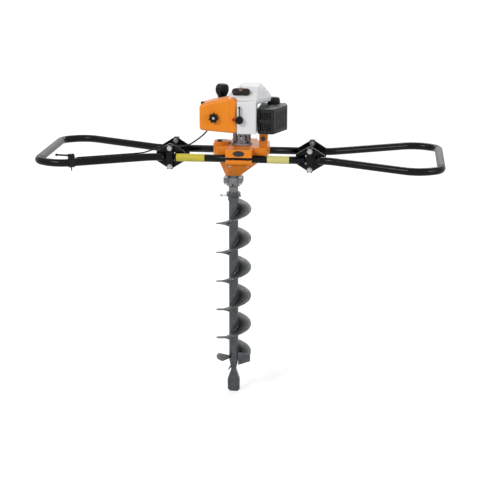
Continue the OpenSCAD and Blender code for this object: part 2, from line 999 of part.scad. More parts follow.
module upper_gear_case() {
  color("#f08a1d")
    difference() {
      union() {
        translate([0, 0, split_z])
          linear_extrude(deck_h)
            case_plan();
        translate([lobe_x, 0, deck_z - 1])
          cylinder(r = lobe_r, h = lobe_h + 1);
        engine_place()
          block(post_x, post_x + post_w, post_y, post_y + post_depth, deck_z - 1, deck_z + post_h);
        frame_place()
          front_and_rear()
            block(-jaw_w / 2, jaw_w / 2, -jaw_front, -case_half_depth + 1,
              jaw_gap - jaw_top, deck_h - jaw_top);
      }
      gear_chamber();
      tube_seats();
      jaw_bolt_places()
        rod(jaw_bolt_d + 2 * seat, 0, jaw_bolt_high + 1);
      layshaft_place()
        rod(layshaft_bearing[0] + 2 * seat, split_z + chamber_h - 1, layshaft_top_z);
      engine_place()
        rod(drum_bearing[0] + 2 * seat, deck_z - drum_bearing[1], deck_z + 1);
      engine_place()
        rod(drum_bearing[0] - 8, split_z + chamber_h - 1, deck_z);
      housing_screw_places()
        rod(housing_screw_d + 2 * seat, -housing_flange_t - screw_depth, 1);
      translate([lobe_bolt[0], lobe_bolt[1], deck_z + lobe_h])
        rod(lobe_bolt_d + 2 * seat, -blind_depth, 1);
      engine_place()
        to_front(post_x + post_w / 2, post_y + blind_depth, post_bolt_z)
          cylinder(d = post_bolt_d + 2 * seat, h = blind_depth + 1);
    }
}

low_left = 40;
low_right = 102;
low_r = 24;
low_step = 12;
low_edge = 4;
jaw_low = 18;

module lower_case_form() {
  intersection() {
    upright_plate(-case_half_depth, case_half_depth)
      polygon([
        [-low_left, split_z], [low_right, split_z], [low_right, split_z - low_edge],
        [low_r, case_z], [-low_r, case_z], [-low_left, split_z - low_step]
      ]);
    cross_plate(-low_left, low_right)
      polygon([
        [-case_half_depth, split_z], [case_half_depth, split_z],
        [case_half_depth, split_z - low_step], [low_r, case_z],
        [-low_r, case_z], [-case_half_depth, split_z - low_step]
      ]);
  }
  intersection() {
    upright_plate(-jaw_front, jaw_front)
      polygon([
        [engine_x - jaw_w / 2, split_z - jaw_top], [engine_x + jaw_w / 2, split_z - jaw_top],
        [engine_x + jaw_w / 2, split_z - jaw_low], [low_r, case_z], [-low_r / 2, case_z]
      ]);
    cross_plate(-low_left, low_right)
      polygon([
        [-jaw_front, split_z - jaw_top], [jaw_front, split_z - jaw_top],
        [jaw_front, split_z - jaw_low], [low_r, case_z],
        [-low_r, case_z], [-jaw_front, split_z - jaw_low]
      ]);
  }
}

jaw_head_d = 10;
jaw_head_t = 6;

module lower_gear_case() {
  color("#f08a1d")
    difference() {
      lower_case_form();
      tube_seats();
      rod(spindle_low_bearing[0] + 2 * seat, case_z - 1, case_z + seal_w + spindle_low_bearing[1]);
      rod(spindle_low_bearing[0] - 6, case_z, split_z);
      rod(spindle_top_bearing[0] + 2 * seat, split_z - spindle_top_bearing[1], split_z + 1);
      layshaft_place()
        rod(layshaft_bearing[0] + 2 * seat, layshaft_bottom_z, split_z + 1);
      jaw_bolt_places() {
        rod(jaw_bolt_d + 2 * seat, -jaw_bolt_low - 1, 1);
        rod(jaw_head_d / cos(30) + 1, -lower_case_h, -jaw_bolt_low + jaw_head_t);
      }
    }
}

module bolt(d, length, flats, head) {
  rod(d, -length, 0);
  hex_rod(flats, 0, head);
}

module case_bolts() {
  color("#b4b6b8") {
    jaw_bolt_places() {
      rod(jaw_bolt_d, -jaw_bolt_low + jaw_head_t, jaw_bolt_high);
      hex_rod(jaw_head_d, -jaw_bolt_low, -jaw_bolt_low + jaw_head_t);
    }
    housing_screw_places()
      bolt(housing_screw_d, housing_flange_t + screw_depth, 8, 4);
    translate([lobe_bolt[0], lobe_bolt[1], deck_z + lobe_h])
      bolt(lobe_bolt_d, blind_depth, 13, 6);
    engine_place()
      to_front(post_x + post_w / 2, post_y, post_bolt_z)
        bolt(post_bolt_d, blind_depth, 13, 6);
  }
}

module bearing(size, bore, z) {
  ring(size[0], bore + 2 * run, z, z + size[1]);
}

module shaft_bearings() {
  color("#9fa2a6") {
    bearing(spindle_top_bearing, spindle_d, split_z - spindle_top_bearing[1]);
    bearing(spindle_low_bearing, spindle_d, case_z + seal_w);
    layshaft_place() {
      bearing(layshaft_bearing, layshaft_d, layshaft_bottom_z);
      bearing(layshaft_bearing, layshaft_d, layshaft_top_z - layshaft_bearing[1]);
    }
    engine_place() {
      bearing(drum_bearing, drum_shaft_d, deck_z - drum_bearing[1]);
      bearing(crank_bearing, crank_d, crank_z - crank_room - crank_bearing[1]);
      bearing(crank_bearing, crank_d, crank_z + crank_room);
    }
  }
}

module spindle_seal() {
  color("#2a2a2c")
    ring(spindle_low_bearing[0], spindle_d + 2 * run, case_z, case_z + seal_w);
}

ear_turns = [30, 150, 210, 330];
ear_hex = 13;
ear_nut_t = 5;
flange_d = 50;

module flange_ears(z) {
  for (turn = ear_turns)
    rotate([0, 0, turn])
      translate([ear_circle_d / 2, 0, 0])
        rod(ear_d, z, z + ear_t);
}

module ear_holes(z1, z2, d) {
  for (turn = ear_turns)
    rotate([0, 0, turn])
      translate([ear_circle_d / 2, 0, 0])
        rod(d, z1, z2);
}

spindle_top_z = slow_z + slow_face + 4;
module spindle() {
  color("#8d9095")
    difference() {
      union() {
        rod(flange_d, joint_z, joint_z + ear_t);
        flange_ears(joint_z);
        rod(spindle_d + 9, joint_z, joint_z + ear_t + spindle_boss_h);
        rod(spindle_d, joint_z, spindle_top_z);
      }
      ear_holes(joint_z - 1, joint_z + ear_t + 1, ear_bolt_d + 2 * seat);
    }
}

module output_gear() {
  color("#a5a8ac")
    difference() {
      union() {
        spur_gear(slow_gear, slow_module, slow_z, slow_face, 180 / slow_gear);
        rod(spindle_d + 12, slow_z, spindle_top_z);
      }
      rod(spindle_d + 2 * seat, slow_z - 1, spindle_top_z + 1);
    }
}

module layshaft() {
  color("#a5a8ac")
    layshaft_place() {
      rod(layshaft_d, layshaft_bottom_z, layshaft_top_z - 0.5);
      rod(layshaft_seat_d, split_z + 1, split_z + chamber_h - gap);
      spur_gear(slow_pinion, slow_module, slow_z - 1, slow_face + 2, 0);
    }
}

module layshaft_gear() {
  color("#a5a8ac")
    layshaft_place()
      difference() {
        spur_gear(fast_gear, fast_module, fast_z, fast_face, 180 / fast_gear);
        rod(layshaft_seat_d + 2 * seat, fast_z - 1, fast_z + fast_face + 1);
      }
}

// Clutch
module clutch_drum() {
  color("#8f9296")
    engine_place()
      difference() {
        union() {
          spur_gear(fast_pinion, fast_module, fast_z - 1, deck_z - drum_bearing[1] - fast_z, 0);
          rod(drum_shaft_d, deck_z - drum_bearing[1] - 1, drum_z);
          rod(drum_d, drum_z, drum_z + drum_h);
        }
        rod(drum_d - 2 * drum_wall, drum_z + drum_floor, drum_z + drum_h + 1);
      }
}

shoe_sweep = 104;
module clutch_shoes() {
  color("#6d5a4a")
    engine_place()
      for (turn = [0:120:240])
        rotate([0, 0, turn])
          translate([0, 0, shoe_z])
            rotate_extrude(angle = shoe_sweep)
              translate([hub_d / 2 + seat, 0])
                square([drum_d / 2 - drum_wall - 0.5 - hub_d / 2 - seat, shoe_h]);
}

rib_count = 10;
rib_t = 4;
window_w = 8;
window_edge = 6;
housing_top_d = crankcase_d - 2;

module clutch_housing() {
  color("#b9bcc0")
    difference() {
      union() {
        engine_place() {
          rod(clutch_d, deck_z, engine_z);
          rod(housing_flange_d, deck_z, deck_z + housing_flange_t);
          rod(housing_top_d, engine_z - housing_flange_t, engine_z);
          for (turn = [0:360 / rib_count:359])
            rotate([0, 0, turn])
              block(clutch_d / 2 - 1, housing_top_d / 2 - 1, -rib_t / 2, rib_t / 2,
                deck_z + 1, engine_z - 1);
        }
      }
      engine_place() {
        rod(clutch_d - 2 * housing_wall, deck_z - 1, engine_z + 1);
        for (turn = [180 / rib_count:360 / rib_count:359])
          rotate([0, 0, turn])
            block(hub_d, clutch_d, -window_w / 2, window_w / 2, deck_z + housing_flange_t + window_edge,
              engine_z - housing_flange_t - window_edge);
      }
      housing_screw_places() {
        rod(housing_screw_d + 2 * seat, -housing_flange_t - 1, 1);
        rod(2 * housing_screw_d, 0, 6);
      }
    }
}

// Crankcase: the cylinder's frame has Z along the bore, away from the crankshaft
module on_cylinder() {
  translate([engine_x, 0, crank_z])
    rotate([0, 0, cylinder_turn])
      rotate([90, 0, 0])
        children();
}

crank_room = 16;
foot_half = 28;
spigot_d = bore_d + 6;
pad_y = [carb_y[1], carb_y[1] + manifold_depth];
pad_h = [throat_z - 12, throat_z + 12];
tank_pad_y = [12, 30];
tank_pad_z = [engine_z + 14, engine_z + 28];
fan_neck_d = 40;

module crank_hollow() {
  engine_place() {
    rod(2 * chamber_r, crank_z - crank_room, crank_z + crank_room);
    rod(crank_bearing[0] + 2 * seat, crank_z - crank_room - crank_bearing[1],
      crank_z + crank_room + crank_bearing[1]);
    rod(crank_d + 2, engine_z - 1, starter_z + 1);
  }
  on_cylinder()
    rod(spigot_d + 2 * seat, 0, cylinder_foot + 1);
}

module lower_crankcase() {
  color("#a9acb0")
    difference() {
      union() {
        engine_place()
          rod(crankcase_d, engine_z, crank_z);
        on_cylinder()
          block(-foot_half, foot_half, -foot_half, 0, 0, cylinder_foot);
        block(pad_x, engine_x, tank_pad_y[0], tank_pad_y[1], tank_pad_z[0], tank_pad_z[1]);
      }
      crank_hollow();
    }
}

module upper_crankcase() {
  color("#a9acb0")
    difference() {
      union() {
        engine_place() {
          rod(crankcase_d, crank_z, engine_z + crankcase_h);
          rod(fan_neck_d, engine_z + crankcase_h - 1, fan_z + 1);
        }
        on_cylinder()
          block(-foot_half, foot_half, 0, foot_half, 0, cylinder_foot);
        block(pad_x, engine_x, pad_y[0], pad_y[1], max(pad_h[0], crank_z), pad_h[1]);
        starter_form(0, fan_z, fan_plate_t);
      }
      crank_hollow();
      along_x(pad_x - 1, (pad_y[0] + pad_y[1]) / 2, throat_z)
        cylinder(d = 16, h = crankcase_r);
    }
}

module crankshaft() {
  color("#9b9ea2")
    engine_place() {
      rod(crank_d, drum_z + drum_floor + 1, crank_z - pin_gap / 2);
      rod(hub_d, shoe_z, shoe_z + shoe_h);
      rotate([0, 0, cylinder_turn])
        translate([0, -crank_r, 0])
          rod(10, crank_z - pin_gap / 2 - 1, crank_z + pin_gap / 2 + 1);
      for (side = [0, 1])
        translate([0, 0, side == 0 ? crank_z - pin_gap / 2 - web_t : crank_z + pin_gap / 2])
          cylinder(r = web_r, h = web_t);
      rod(crank_d, crank_z + pin_gap / 2, flywheel_z + flywheel_t + 1);
    }
}

blade_count = 16;
module flywheel() {
  color("#8a8d91")
    engine_place()
      difference() {
        union() {
          rod(flywheel_d, flywheel_z, flywheel_z + 5);
          rod(crank_d + 14, flywheel_z, flywheel_z + flywheel_t);
          for (turn = [0:360 / blade_count:359])
            rotate([0, 0, turn])
              block(crank_d / 2 + 6, flywheel_d / 2 - 1, -1.5, 1.5, flywheel_z + 4, flywheel_z + flywheel_t);
        }
        rod(crank_d + 2 * seat, flywheel_z - 1, flywheel_z + flywheel_t + 1);
      }
}

port_z = 62;
port_d = 16;
port_face = 27;
module cylinder_barrel() {
  rod(spigot_d, cylinder_foot - 8, head_top - 4);
  block(-foot_half, foot_half, -foot_half, foot_half, cylinder_foot, cylinder_foot + 4);
  for (z = [cylinder_foot + 10:fin_pitch:head_top])
    rod(fin_d, z, z + fin_t);
  block(0, port_face, -13, 13, port_z - 13, port_z + 13);
}

module cylinder_bore() {
  rod(bore_d, 0, crown_tdc + 2);
  rod(plug_d + 2 * seat, crown_tdc, head_top + 2);
  along_x(0, 0, port_z)
    cylinder(d = port_d, h = port_face + 1);
}

// Room that the covers leave round the fins
module fin_room() {
  on_cylinder()
    rod(fin_d + 2 * gap, 0, head_top);
}

module cylinder_body() {
  color("#a4a7ab")
    on_cylinder()
      difference() {
        cylinder_barrel();
        cylinder_bore();
      }
}

module piston() {
  color("#b6b8bb")
    on_cylinder() {
      difference() {
        rod(bore_d - 2 * run, crown_tdc - piston_h, crown_tdc);
        rod(bore_d - 8, crown_tdc - piston_h - 1, crown_tdc - 5);
      }
      along_x(-bore_d / 2 + 2, 0, crown_tdc - piston_h + 8)
        cylinder(d = 9, h = bore_d - 4);
    }
}

plug_hex = 17;
plug_boot_d = 11;
module spark_plug() {
  color("#d8d4cc")
    on_cylinder() {
      rod(plug_d, crown_tdc + 3, head_top + 1);
      hex_rod(plug_hex, head_top, head_top + 7);
      rod(plug_boot_d, head_top + 6, head_top + 20);
    }
}

coil_gap = 0.6;
module ignition_coil() {
  color("#2b2c2e")
    engine_place()
      block(-14, 14, flywheel_d / 2 + coil_gap, flywheel_d / 2 + 20, starter_z, starter_z + 12);
}

// Starter cover: rounded foot, sloping to a smaller flat top
module starter_form(inset, z, height) {
  hull()
    for (p = starter_foot)
      translate([engine_x + p[0], p[1], z])
        cylinder(r = foot_r - inset, h = height, $fn = 32);
}

module starter_dome(inset, z) {
  hull() {
    for (p = starter_foot)
      translate([engine_x + p[0], p[1], z])
        cylinder(r = foot_r - inset, h = starter_z + starter_skirt - z, $fn = 32);
    for (p = starter_top)
      translate([engine_x + p[0], p[1], starter_z + starter_h - top_r])
        cylinder(r = top_r - inset, h = top_r - inset, $fn = 32);
  }
}

slope_run = 19;
module on_slope() {
  translate([grip_x, starter_foot[0][1] - foot_r + slope_run, starter_z + starter_skirt])
    translate([0, 0, slope_run * tan(starter_slope)])
      rotate([starter_slope, 0, 0])
        children();
}

vent_count = 5;
vent_pitch = 13;
vent_start = -26;
vent_w = 4;
vent_reach = 20;
module starter_vents() {
  for (i = [0:vent_count - 1])
    engine_place()
      block(starter_top[1][0] - 2, starter_foot[3][0] + vent_reach,
        vent_start + i * vent_pitch, vent_start + vent_w + i * vent_pitch,
        starter_z + starter_skirt + 6, starter_z + starter_h - 12);
}

axle_d = 8;
eyelet_depth = 10;
module starter_cover() {
  color("#f1f1ef") {
    difference() {
      starter_dome(0, starter_z);
      starter_dome(cover_wall, starter_z - 1);
      starter_vents();
      on_slope()
        rod(rope_d + 4, -eyelet_depth, eyelet_depth);
    }
    intersection() {
      engine_place() {
        rod(axle_d, pulley_z - 1, pulley_z + pulley_t + 1);
        rod(post_d, pulley_z + pulley_t + gap, starter_z + starter_h);
      }
      starter_dome(cover_wall / 2, starter_z);
    }
  }
}

module starter_pulley() {
  color("#3b3c3f")
    engine_place()
      difference() {
        rod(pulley_d, pulley_z, pulley_z + pulley_t);
        rod(axle_d + 2 * run, pulley_z - 1, pulley_z + pulley_t + 1);
        translate([0, 0, pulley_z + pulley_t / 2])
          rotate_extrude()
            translate([pulley_d / 2, 0])
              circle(d = rope_d);
      }
}

module starter_grip() {
  color("#2c2a2a")
    on_slope()
      translate([0, 0, gap])
        difference() {
          union() {
            for (side = [-1, 1])
              translate([side * (grip_len - grip_w) / 2, 0, 0])
                rod(grip_w, 0, grip_t);
            block(-(grip_len - grip_w) / 2, (grip_len - grip_w) / 2, -grip_w / 2, grip_w / 2, 0, grip_t);
            rod(grip_w - 4, 0, grip_t + 3);
          }
          rod(rope_d + 2 * run, -1, grip_t + 4);
          rod(grip_w - 12, grip_t - 2, grip_t + 4);
        }
}

fin_side = -70;
module cylinder_shroud() {
  top = shroud_low + shroud_h;
  color("#f1f1ef")
    difference() {
      block(shroud_left, shroud_right, shroud_front, shroud_back, shroud_low, top);
      block(shroud_left + cover_wall, shroud_right - cover_wall, shroud_front + cover_wall, shroud_back + 1,
        shroud_low - 1, top - cover_wall);
      block(shroud_left - 1, engine_x + 5, fin_side, shroud_back + 1, shroud_low - 1, fan_z);
      block(engine_x + 5, shroud_right + 1, exhaust_side, shroud_back + 1, shroud_low - 1, fan_z);
      starter_dome(-gap, fan_z - gap);
      fin_room();
      to_front(choke_x, shroud_front + 2 * cover_wall, choke_z)
        cylinder(d = choke_shaft_d + 2 * run, h = 3 * cover_wall);
    }
}

// Intake side
function cover_outline(i) = [
  [cover_left + i, cover_low + 18], [cover_left + 4 + i, cover_low + 9 + i],
  [cover_left + 39, cover_low + 6 + i], [cover_right - i, cover_low + i],
  [cover_right - i, cover_low + cover_h - 13], [cover_right - 6 - i, cover_low + cover_h - 3 - i],
  [cover_right - 28, cover_low + cover_h - i], [cover_left + 45, cover_low + cover_h - 9 - i],
  [cover_left + 7 + i, cover_low + cover_h - 20 - i], [cover_left + i, cover_low + cover_h - 28]
];

module filter_cover() {
  color("#f08a1d")
    difference() {
      upright_plate(cover_front, cover_y)
        polygon(cover_outline(0));
      upright_plate(cover_front + cover_wall, cover_y + 1)
        polygon(cover_outline(cover_wall));
      starter_dome(-gap, fan_z - gap);
      fin_room();
      to_front(knob_x, cover_y, knob_z)
        cylinder(d = stud_d + 2 * gap, h = cover_depth + 1);
      to_front(stop_x, cover_y, stop_z)
        cylinder(d = stop_d + 2 * run, h = cover_depth + 1);
    }
}

module filter_base() {
  color("#2a2b2d") {
    difference() {
      upright_plate(cover_y, base_y)
        polygon(cover_outline(0));
      starter_dome(-gap, fan_z - gap);
      fin_room();
      to_front(throat_x, base_y + 1, throat_z)
        cylinder(d = throat_d, h = base_t + 2);
    }
    to_front(knob_x, base_y - 1, knob_z)
      cylinder(d = stud_d, h = base_t + cover_depth + knob_t - 3);
  }
}

element_inset = 8;
module filter_element() {
  color("#c8c2ae")
    difference() {
      block(cover_left + element_inset, cover_right - 3 * element_inset, cover_front + element_inset, cover_y,
        cover_low + 3 * element_inset, cover_low + cover_h - 4 * element_inset);
      to_front(knob_x, cover_y + 1, knob_z)
        cylinder(d = stud_d + 2 * gap, h = cover_depth + 1);
    }
}

lobe_count = 7;
module filter_knob() {
  color("#2b2b2d")
    to_front(knob_x, cover_front - gap, knob_z)
      linear_extrude(knob_t)
        difference() {
          union() {
            circle(d = 0.78 * knob_d);
            for (i = [0:lobe_count - 1])
              rotate(90 + i * 360 / lobe_count)
                translate([0.39 * knob_d, 0])
                  circle(d = 0.22 * knob_d);
          }
          circle(d = stud_d + 2 * run);
        }
}

choke_t = 9;
choke_arm_w = 3.5;
choke_arm_t = 4;
choke_shaft_d = 6;
module choke_lever() {
  color("#1f1f21")
    to_front(choke_x, cover_front - gap, choke_z) {
      rod(choke_d, 0, choke_t);
      rod(choke_shaft_d, cover_front - shroud_front - cover_wall - 2, 1);
      block(-choke_arm_w / 2, choke_arm_w / 2, 0, choke_lever_len, 1, 1 + choke_arm_t);
      translate([0, choke_lever_len, 1 + choke_arm_t / 2])
        sphere(d = 2 * choke_arm_t);
    }
}

stop_travel = 2.5;
stop_show = 4;
module stop_button() {
  color("#c8281e")
    to_front(stop_x, cover_y - stop_travel - gap, stop_z)
      rod(stop_d, 0, cover_depth + stop_show - stop_travel - gap);
}

tab_reach = 14;
cable_tab = 5;
module carburettor() {
  color("#9a9da1")
    difference() {
      union() {
        block(carb_x[0], carb_x[1], carb_y[0], carb_y[1], carb_z[0], carb_z[1]);
        block(carb_x[0] - tab_reach, carb_x[0] + 1, -40, -26, carb_z[0] + 11 + gap,
          carb_z[0] + 11 + cable_tab);
      }
      to_front(throat_x, carb_y[1] + 1, throat_z)
        cylinder(d = throat_d, h = carb_y[1] - carb_y[0] + 2);
    }
}

module intake_manifold() {
  color("#242527")
    difference() {
      block(carb_x[0] + 6, pad_x, pad_y[0], pad_y[1], pad_h[0], pad_h[1]);
      along_x(throat_x, (pad_y[0] + pad_y[1]) / 2, throat_z)
        cylinder(d = 16, h = pad_x - throat_x + 1);
      to_front(throat_x, (pad_y[0] + pad_y[1]) / 2, throat_z)
        cylinder(d = 16, h = manifold_depth);
    }
}

tank_wall = 3;
tank_corner_r = 12;
tank_top = tank_low + tank_h;
cap_z = tank_top + filler_h;
module tank_plan(inset) {
  r = tank_corner_r - inset;
  translate([tank_left + tank_corner_r, tank_y[0] + tank_corner_r]) {
    w = tank_w - 2 * tank_corner_r;
    d = tank_y[1] - tank_y[0] - 2 * tank_corner_r;
    translate([-r, 0])
      square([w + 2 * r, d]);
    translate([0, -r])
      square([w, d + 2 * r]);
    for (x = [0, w], y = [0, d])
      translate([x, y])
        circle(r = r);
  }
}

module fuel_tank() {
  color("#3a3b3d")
    difference() {
      union() {
        translate([0, 0, tank_low])
          linear_extrude(tank_h)
            tank_plan(0);
        translate([neck_x, neck_y, 0]) {
          rod(filler_d, tank_top - 1, cap_z);
          rod(tank_neck_d, cap_z - 1, cap_z + tank_neck_h);
        }
        block(tank_left + tank_w - 1, pad_x, tank_pad_y[0], tank_pad_y[1], tank_pad_z[0], tank_pad_z[1]);
      }
      translate([0, 0, tank_low + tank_wall])
        linear_extrude(tank_h - 2 * tank_wall)
          tank_plan(tank_wall);
      translate([neck_x, neck_y, 0])
        rod(tank_neck_d - 2 * tank_wall, tank_top - tank_wall - 1, cap_z + tank_neck_h + 1);
    }
}

cap_lobes = 6;
module fuel_cap() {
  color("#1d1d1f")
    translate([neck_x, neck_y, cap_z + gap])
      difference() {
        rotate_extrude()
          polygon([
            [0, 0], [filler_d / 2, 0], [filler_d / 2, 0.1 * cap_h], [cap_d / 2, 0.45 * cap_h],
            [cap_d / 2, 0.72 * cap_h], [0.38 * cap_d, cap_h], [0, cap_h]
          ]);
        rod(tank_neck_d + 2 * gap, -1, tank_neck_h + gap);
        for (i = [0:cap_lobes - 1])
          rotate([0, 0, i * 360 / cap_lobes])
            translate([cap_d / 2 + 4, 0, 0])
              rod(12, 0.3 * cap_h, cap_h + 1);
      }
}

// Exhaust side
guard_corner_r = 12;

// Rounds every corner of an outline with the same radius
function rounded(p, r) =
  [for (i = [0:len(p) - 1])
    let (
      back = unit(p[(i + len(p) - 1) % len(p)] - p[i]),
      ahead = unit(p[(i + 1) % len(p)] - p[i]),
      half = acos(back * ahead) / 2,
      centre = p[i] + unit(back + ahead) * r / sin(half),
      from = atan2(-(unit(back + ahead))[1], -(unit(back + ahead))[0])
    )
    for (k = [-2:2]) centre + polar(r, from + k * (90 - half) / 2)];

function inset_plan(p, share) = [for (q = p) guard_middle + share * (q - guard_middle)];

module face_slots(from, to, count, z1, z2) {
  pitch = norm(to - from) / (count + 1);
  for (i = [1:count])
    translate([from[0], from[1], 0])
      rotate([0, 0, atan2(to[1] - from[1], to[0] - from[0])])
        block(i * pitch - slot_w / 2, i * pitch + slot_w / 2, -10, 10, z1, z2);
}

pipe_wall = 3;
pipe_len = 32;
module exhaust_pipe(clear) {
  on_cylinder()
    along_x(port_face, 0, port_z)
      cylinder(d = port_d + 2 * (pipe_wall + clear), h = pipe_len);
}

muffler_share = 0.84;
muffler_hollow = 0.8;
muffler_wall = 2;
muffler_h = guard_h - 5 * guard_wall;
outlet_d = 12;
guard_share = 0.95;
slot_low = 10;
slot_top = 12;
row_gap = 10;
top_slots = 6;
top_slot_pitch = 9;
top_slot_len = 36;
tab_w = 16;
tab_t = 6;

module guard_slots() {
  middle_z = guard_z + guard_h / 2;
  top_z = guard_z + guard_h;
  from = guard_plan[0] + [4, 0];
  to = guard_plan[1] - [4, 0];
  face_slots(from, to, 6, guard_z + slot_low, middle_z - row_gap / 2);
  face_slots(from, to, 6, middle_z + row_gap / 2, top_z - slot_top);
  face_slots(guard_plan[1] + [4, 8], guard_plan[2], 6, guard_z + slot_low, top_z - slot_top);
  for (i = [0:top_slots - 1])
    translate([guard_middle[0] + (i - top_slots / 2 + 0.5) * top_slot_pitch, guard_middle[1], top_z])
      rotate([0, 0, -35])
        block(-slot_w / 2, slot_w / 2, -top_slot_len / 2, top_slot_len / 2, -guard_wall - 1, 1);
}

module muffler_guard() {
  color("#1c1c1e")
    difference() {
      engine_place()
        difference() {
          union() {
            translate([0, 0, guard_z])
              linear_extrude(guard_h)
                polygon(rounded(guard_plan, guard_corner_r));
            block(guard_middle[0], guard_middle[0] + tab_w, guard_plan[3][1] - tab_t, guard_plan[3][1],
              guard_z + guard_h - 1, guard_z + guard_h + tab_w);
          }
          translate([0, 0, guard_z + guard_wall])
            linear_extrude(guard_h - 2 * guard_wall)
              polygon(inset_plan(rounded(guard_plan, guard_corner_r), guard_share));
          guard_slots();
        }
      exhaust_pipe(gap);
    }
}

module muffler() {
  color("#8b8d90")
    difference() {
      union() {
        engine_place()
          translate([0, 0, guard_z + guard_wall])
            linear_extrude(muffler_h)
              polygon(rounded(inset_plan(guard_plan, muffler_share), guard_corner_r / 2));
        exhaust_pipe(0);
      }
      engine_place()
        translate([0, 0, guard_z + guard_wall + muffler_wall])
          linear_extrude(muffler_h - 2 * muffler_wall)
            polygon(rounded(inset_plan(guard_plan, muffler_hollow), guard_corner_r / 2));
      on_cylinder()
        along_x(port_face - 1, 0, port_z)
          cylinder(d = port_d, h = pipe_len);
      engine_place()
        along_x(guard_middle[0], guard_middle[1], guard_z + muffler_h - outlet_d)
          cylinder(d = outlet_d, h = guard_plan[2][0]);
    }
}

// Drill side
cone_h = 6;
set_hole_d = 7;
set_hole_depth = 8;
set_hole_z = adapter_z + 10.5;

module adapter() {
  color("#8d9095")
    difference() {
      union() {
        rod(shank_d, socket_z - shank_len, socket_z + 1);
        rod(neck_d, socket_z, adapter_z);
        translate([0, 0, adapter_z])
          cylinder(d1 = neck_d, d2 = flange_d, h = cone_h);
        rod(flange_d, adapter_z + cone_h, joint_z);
        flange_ears(joint_z - ear_t);
      }
      ear_holes(joint_z - ear_t - 1, joint_z + 1, ear_bolt_d + 2 * seat);
      ear_holes(adapter_z - 1, joint_z - ear_t, ear_hex / cos(30) + 1);
      along_x(-drill_tube_d, 0, socket_z - pin_drop)
        cylinder(d = pin_d + 2 * run, h = 2 * drill_tube_d);
      to_front(0, -flange_d / 2 + set_hole_depth, set_hole_z)
        cylinder(d = set_hole_d, h = 2 * set_hole_depth);
    }
}

module flange_bolts() {
  color("#a9abae")
    for (turn = ear_turns)
      rotate([0, 0, turn])
        translate([ear_circle_d / 2, 0, joint_z]) {
          rod(ear_bolt_d, -ear_t, ear_t + ear_nut_t + 1);
          hex_rod(ear_hex, -ear_t - ear_nut_t, -ear_t);
          difference() {
            hex_rod(ear_hex, ear_t, ear_t + ear_nut_t);
            rod(ear_bolt_d + 2 * seat, ear_t - 1, ear_t + ear_nut_t + 1);
          }
        }
}

collar_low_d = 38;
collar_rim = 6;
module drill_tube() {
  color("#5b6064")
    difference() {
      union() {
        rod(drill_tube_d, tube_bottom_z, socket_z);
        rod(collar_low_d, socket_z - socket_h, socket_z);
        translate([0, 0, socket_z - 3 * collar_rim])
          cylinder(d1 = collar_low_d, d2 = socket_d, h = 2 * collar_rim);
        rod(socket_d, socket_z - collar_rim, socket_z);
      }
      rod(shank_d + 2 * seat, tube_bottom_z - 1, socket_z + 1);
      along_x(-socket_d, 0, socket_z - pin_drop)
        cylinder(d = pin_d + 2 * run, h = 2 * socket_d);
    }
}

pin_rod_d = 3.5;
pin_rod_len = 18;
pin_ball_d = 8;
module lock_pin() {
  color("#c3c5c7")
    along_x(0, 0, socket_z - pin_drop) {
      rod(pin_d, -socket_d / 2, socket_d / 2 + 2);
      rod(pin_rod_d, -socket_d / 2 - pin_rod_len, -socket_d / 2 + 1);
      translate([0, 0, -socket_d / 2 - pin_rod_len])
        sphere(d = pin_ball_d);
    }
}

// Flight: a ruled helix round the drill tube, right-handed
flight_step = 10;
flight_top_turn = 100;
flight_top_z = socket_z - socket_h - flight_top_gap;
flight_fall = flight_top_z - tube_bottom_z - flight_bottom_gap;
flight_bottom_turn = flight_top_turn - 360 * flight_fall / flight_pitch;
flight_bottom_z = tube_bottom_z + flight_bottom_gap;
flight_inner_r = drill_tube_d / 2 / cos(flight_step / 2) + seat;
wing_sweep = 80;
wing_rise = 2;
wing_turn = 168;
wing_z = tube_bottom_z + 11;

module helix(from_turn, from_z, sweep, rise) {
  count = ceil(sweep / flight_step);
  outer_r = flight_d / 2;
  points = [for (i = [0:count])
    let (
      turn = from_turn + sweep * i / count,
      z = from_z + rise * i / count
    )
    each [
      [flight_inner_r * cos(turn), flight_inner_r * sin(turn), z - flight_t / 2],
      [outer_r * cos(turn), outer_r * sin(turn), z - flight_t / 2],
      [outer_r * cos(turn), outer_r * sin(turn), z + flight_t / 2],
      [flight_inner_r * cos(turn), flight_inner_r * sin(turn), z + flight_t / 2]
    ]];
  walls = [for (i = [0:count - 1], k = [0:3])
    let (
      a = 4 * i + k,
      b = 4 * i + (k + 1) % 4
    )
    each [[a, b, b + 4], [a, b + 4, a + 4]]];
  last = 4 * count;
  caps = [[0, 3, 2], [0, 2, 1], [last, last + 1, last + 2], [last, last + 2, last + 3]];
  polyhedron(points, concat(walls, caps));
}

module flight() {
  color("#63686c") {
    helix(flight_bottom_turn, flight_bottom_z, flight_top_turn - flight_bottom_turn, flight_fall);
    helix(flight_bottom_turn + wing_turn, wing_z, wing_sweep, wing_rise);
  }
}

// Cutters: an upright blade under the end of the flight, and a tooth below the wing
blade_inner_r = drill_tube_d / 2 + 1.5;
blade_slant = 18;
waist_h = 84;
tooth_t = 5;
tooth_turn = wing_turn + 45;
tooth_root_r = 6;
tooth_reach = 22;
tooth_top = 22;
tooth_low = 9;
tooth_tip = 4;

module point_cone(room) {
  translate([0, 0, waist_h])
    cylinder(d1 = waist_d + 2 * room, d2 = drill_tube_d + 2 * room, h = tube_bottom_z - waist_h);
}

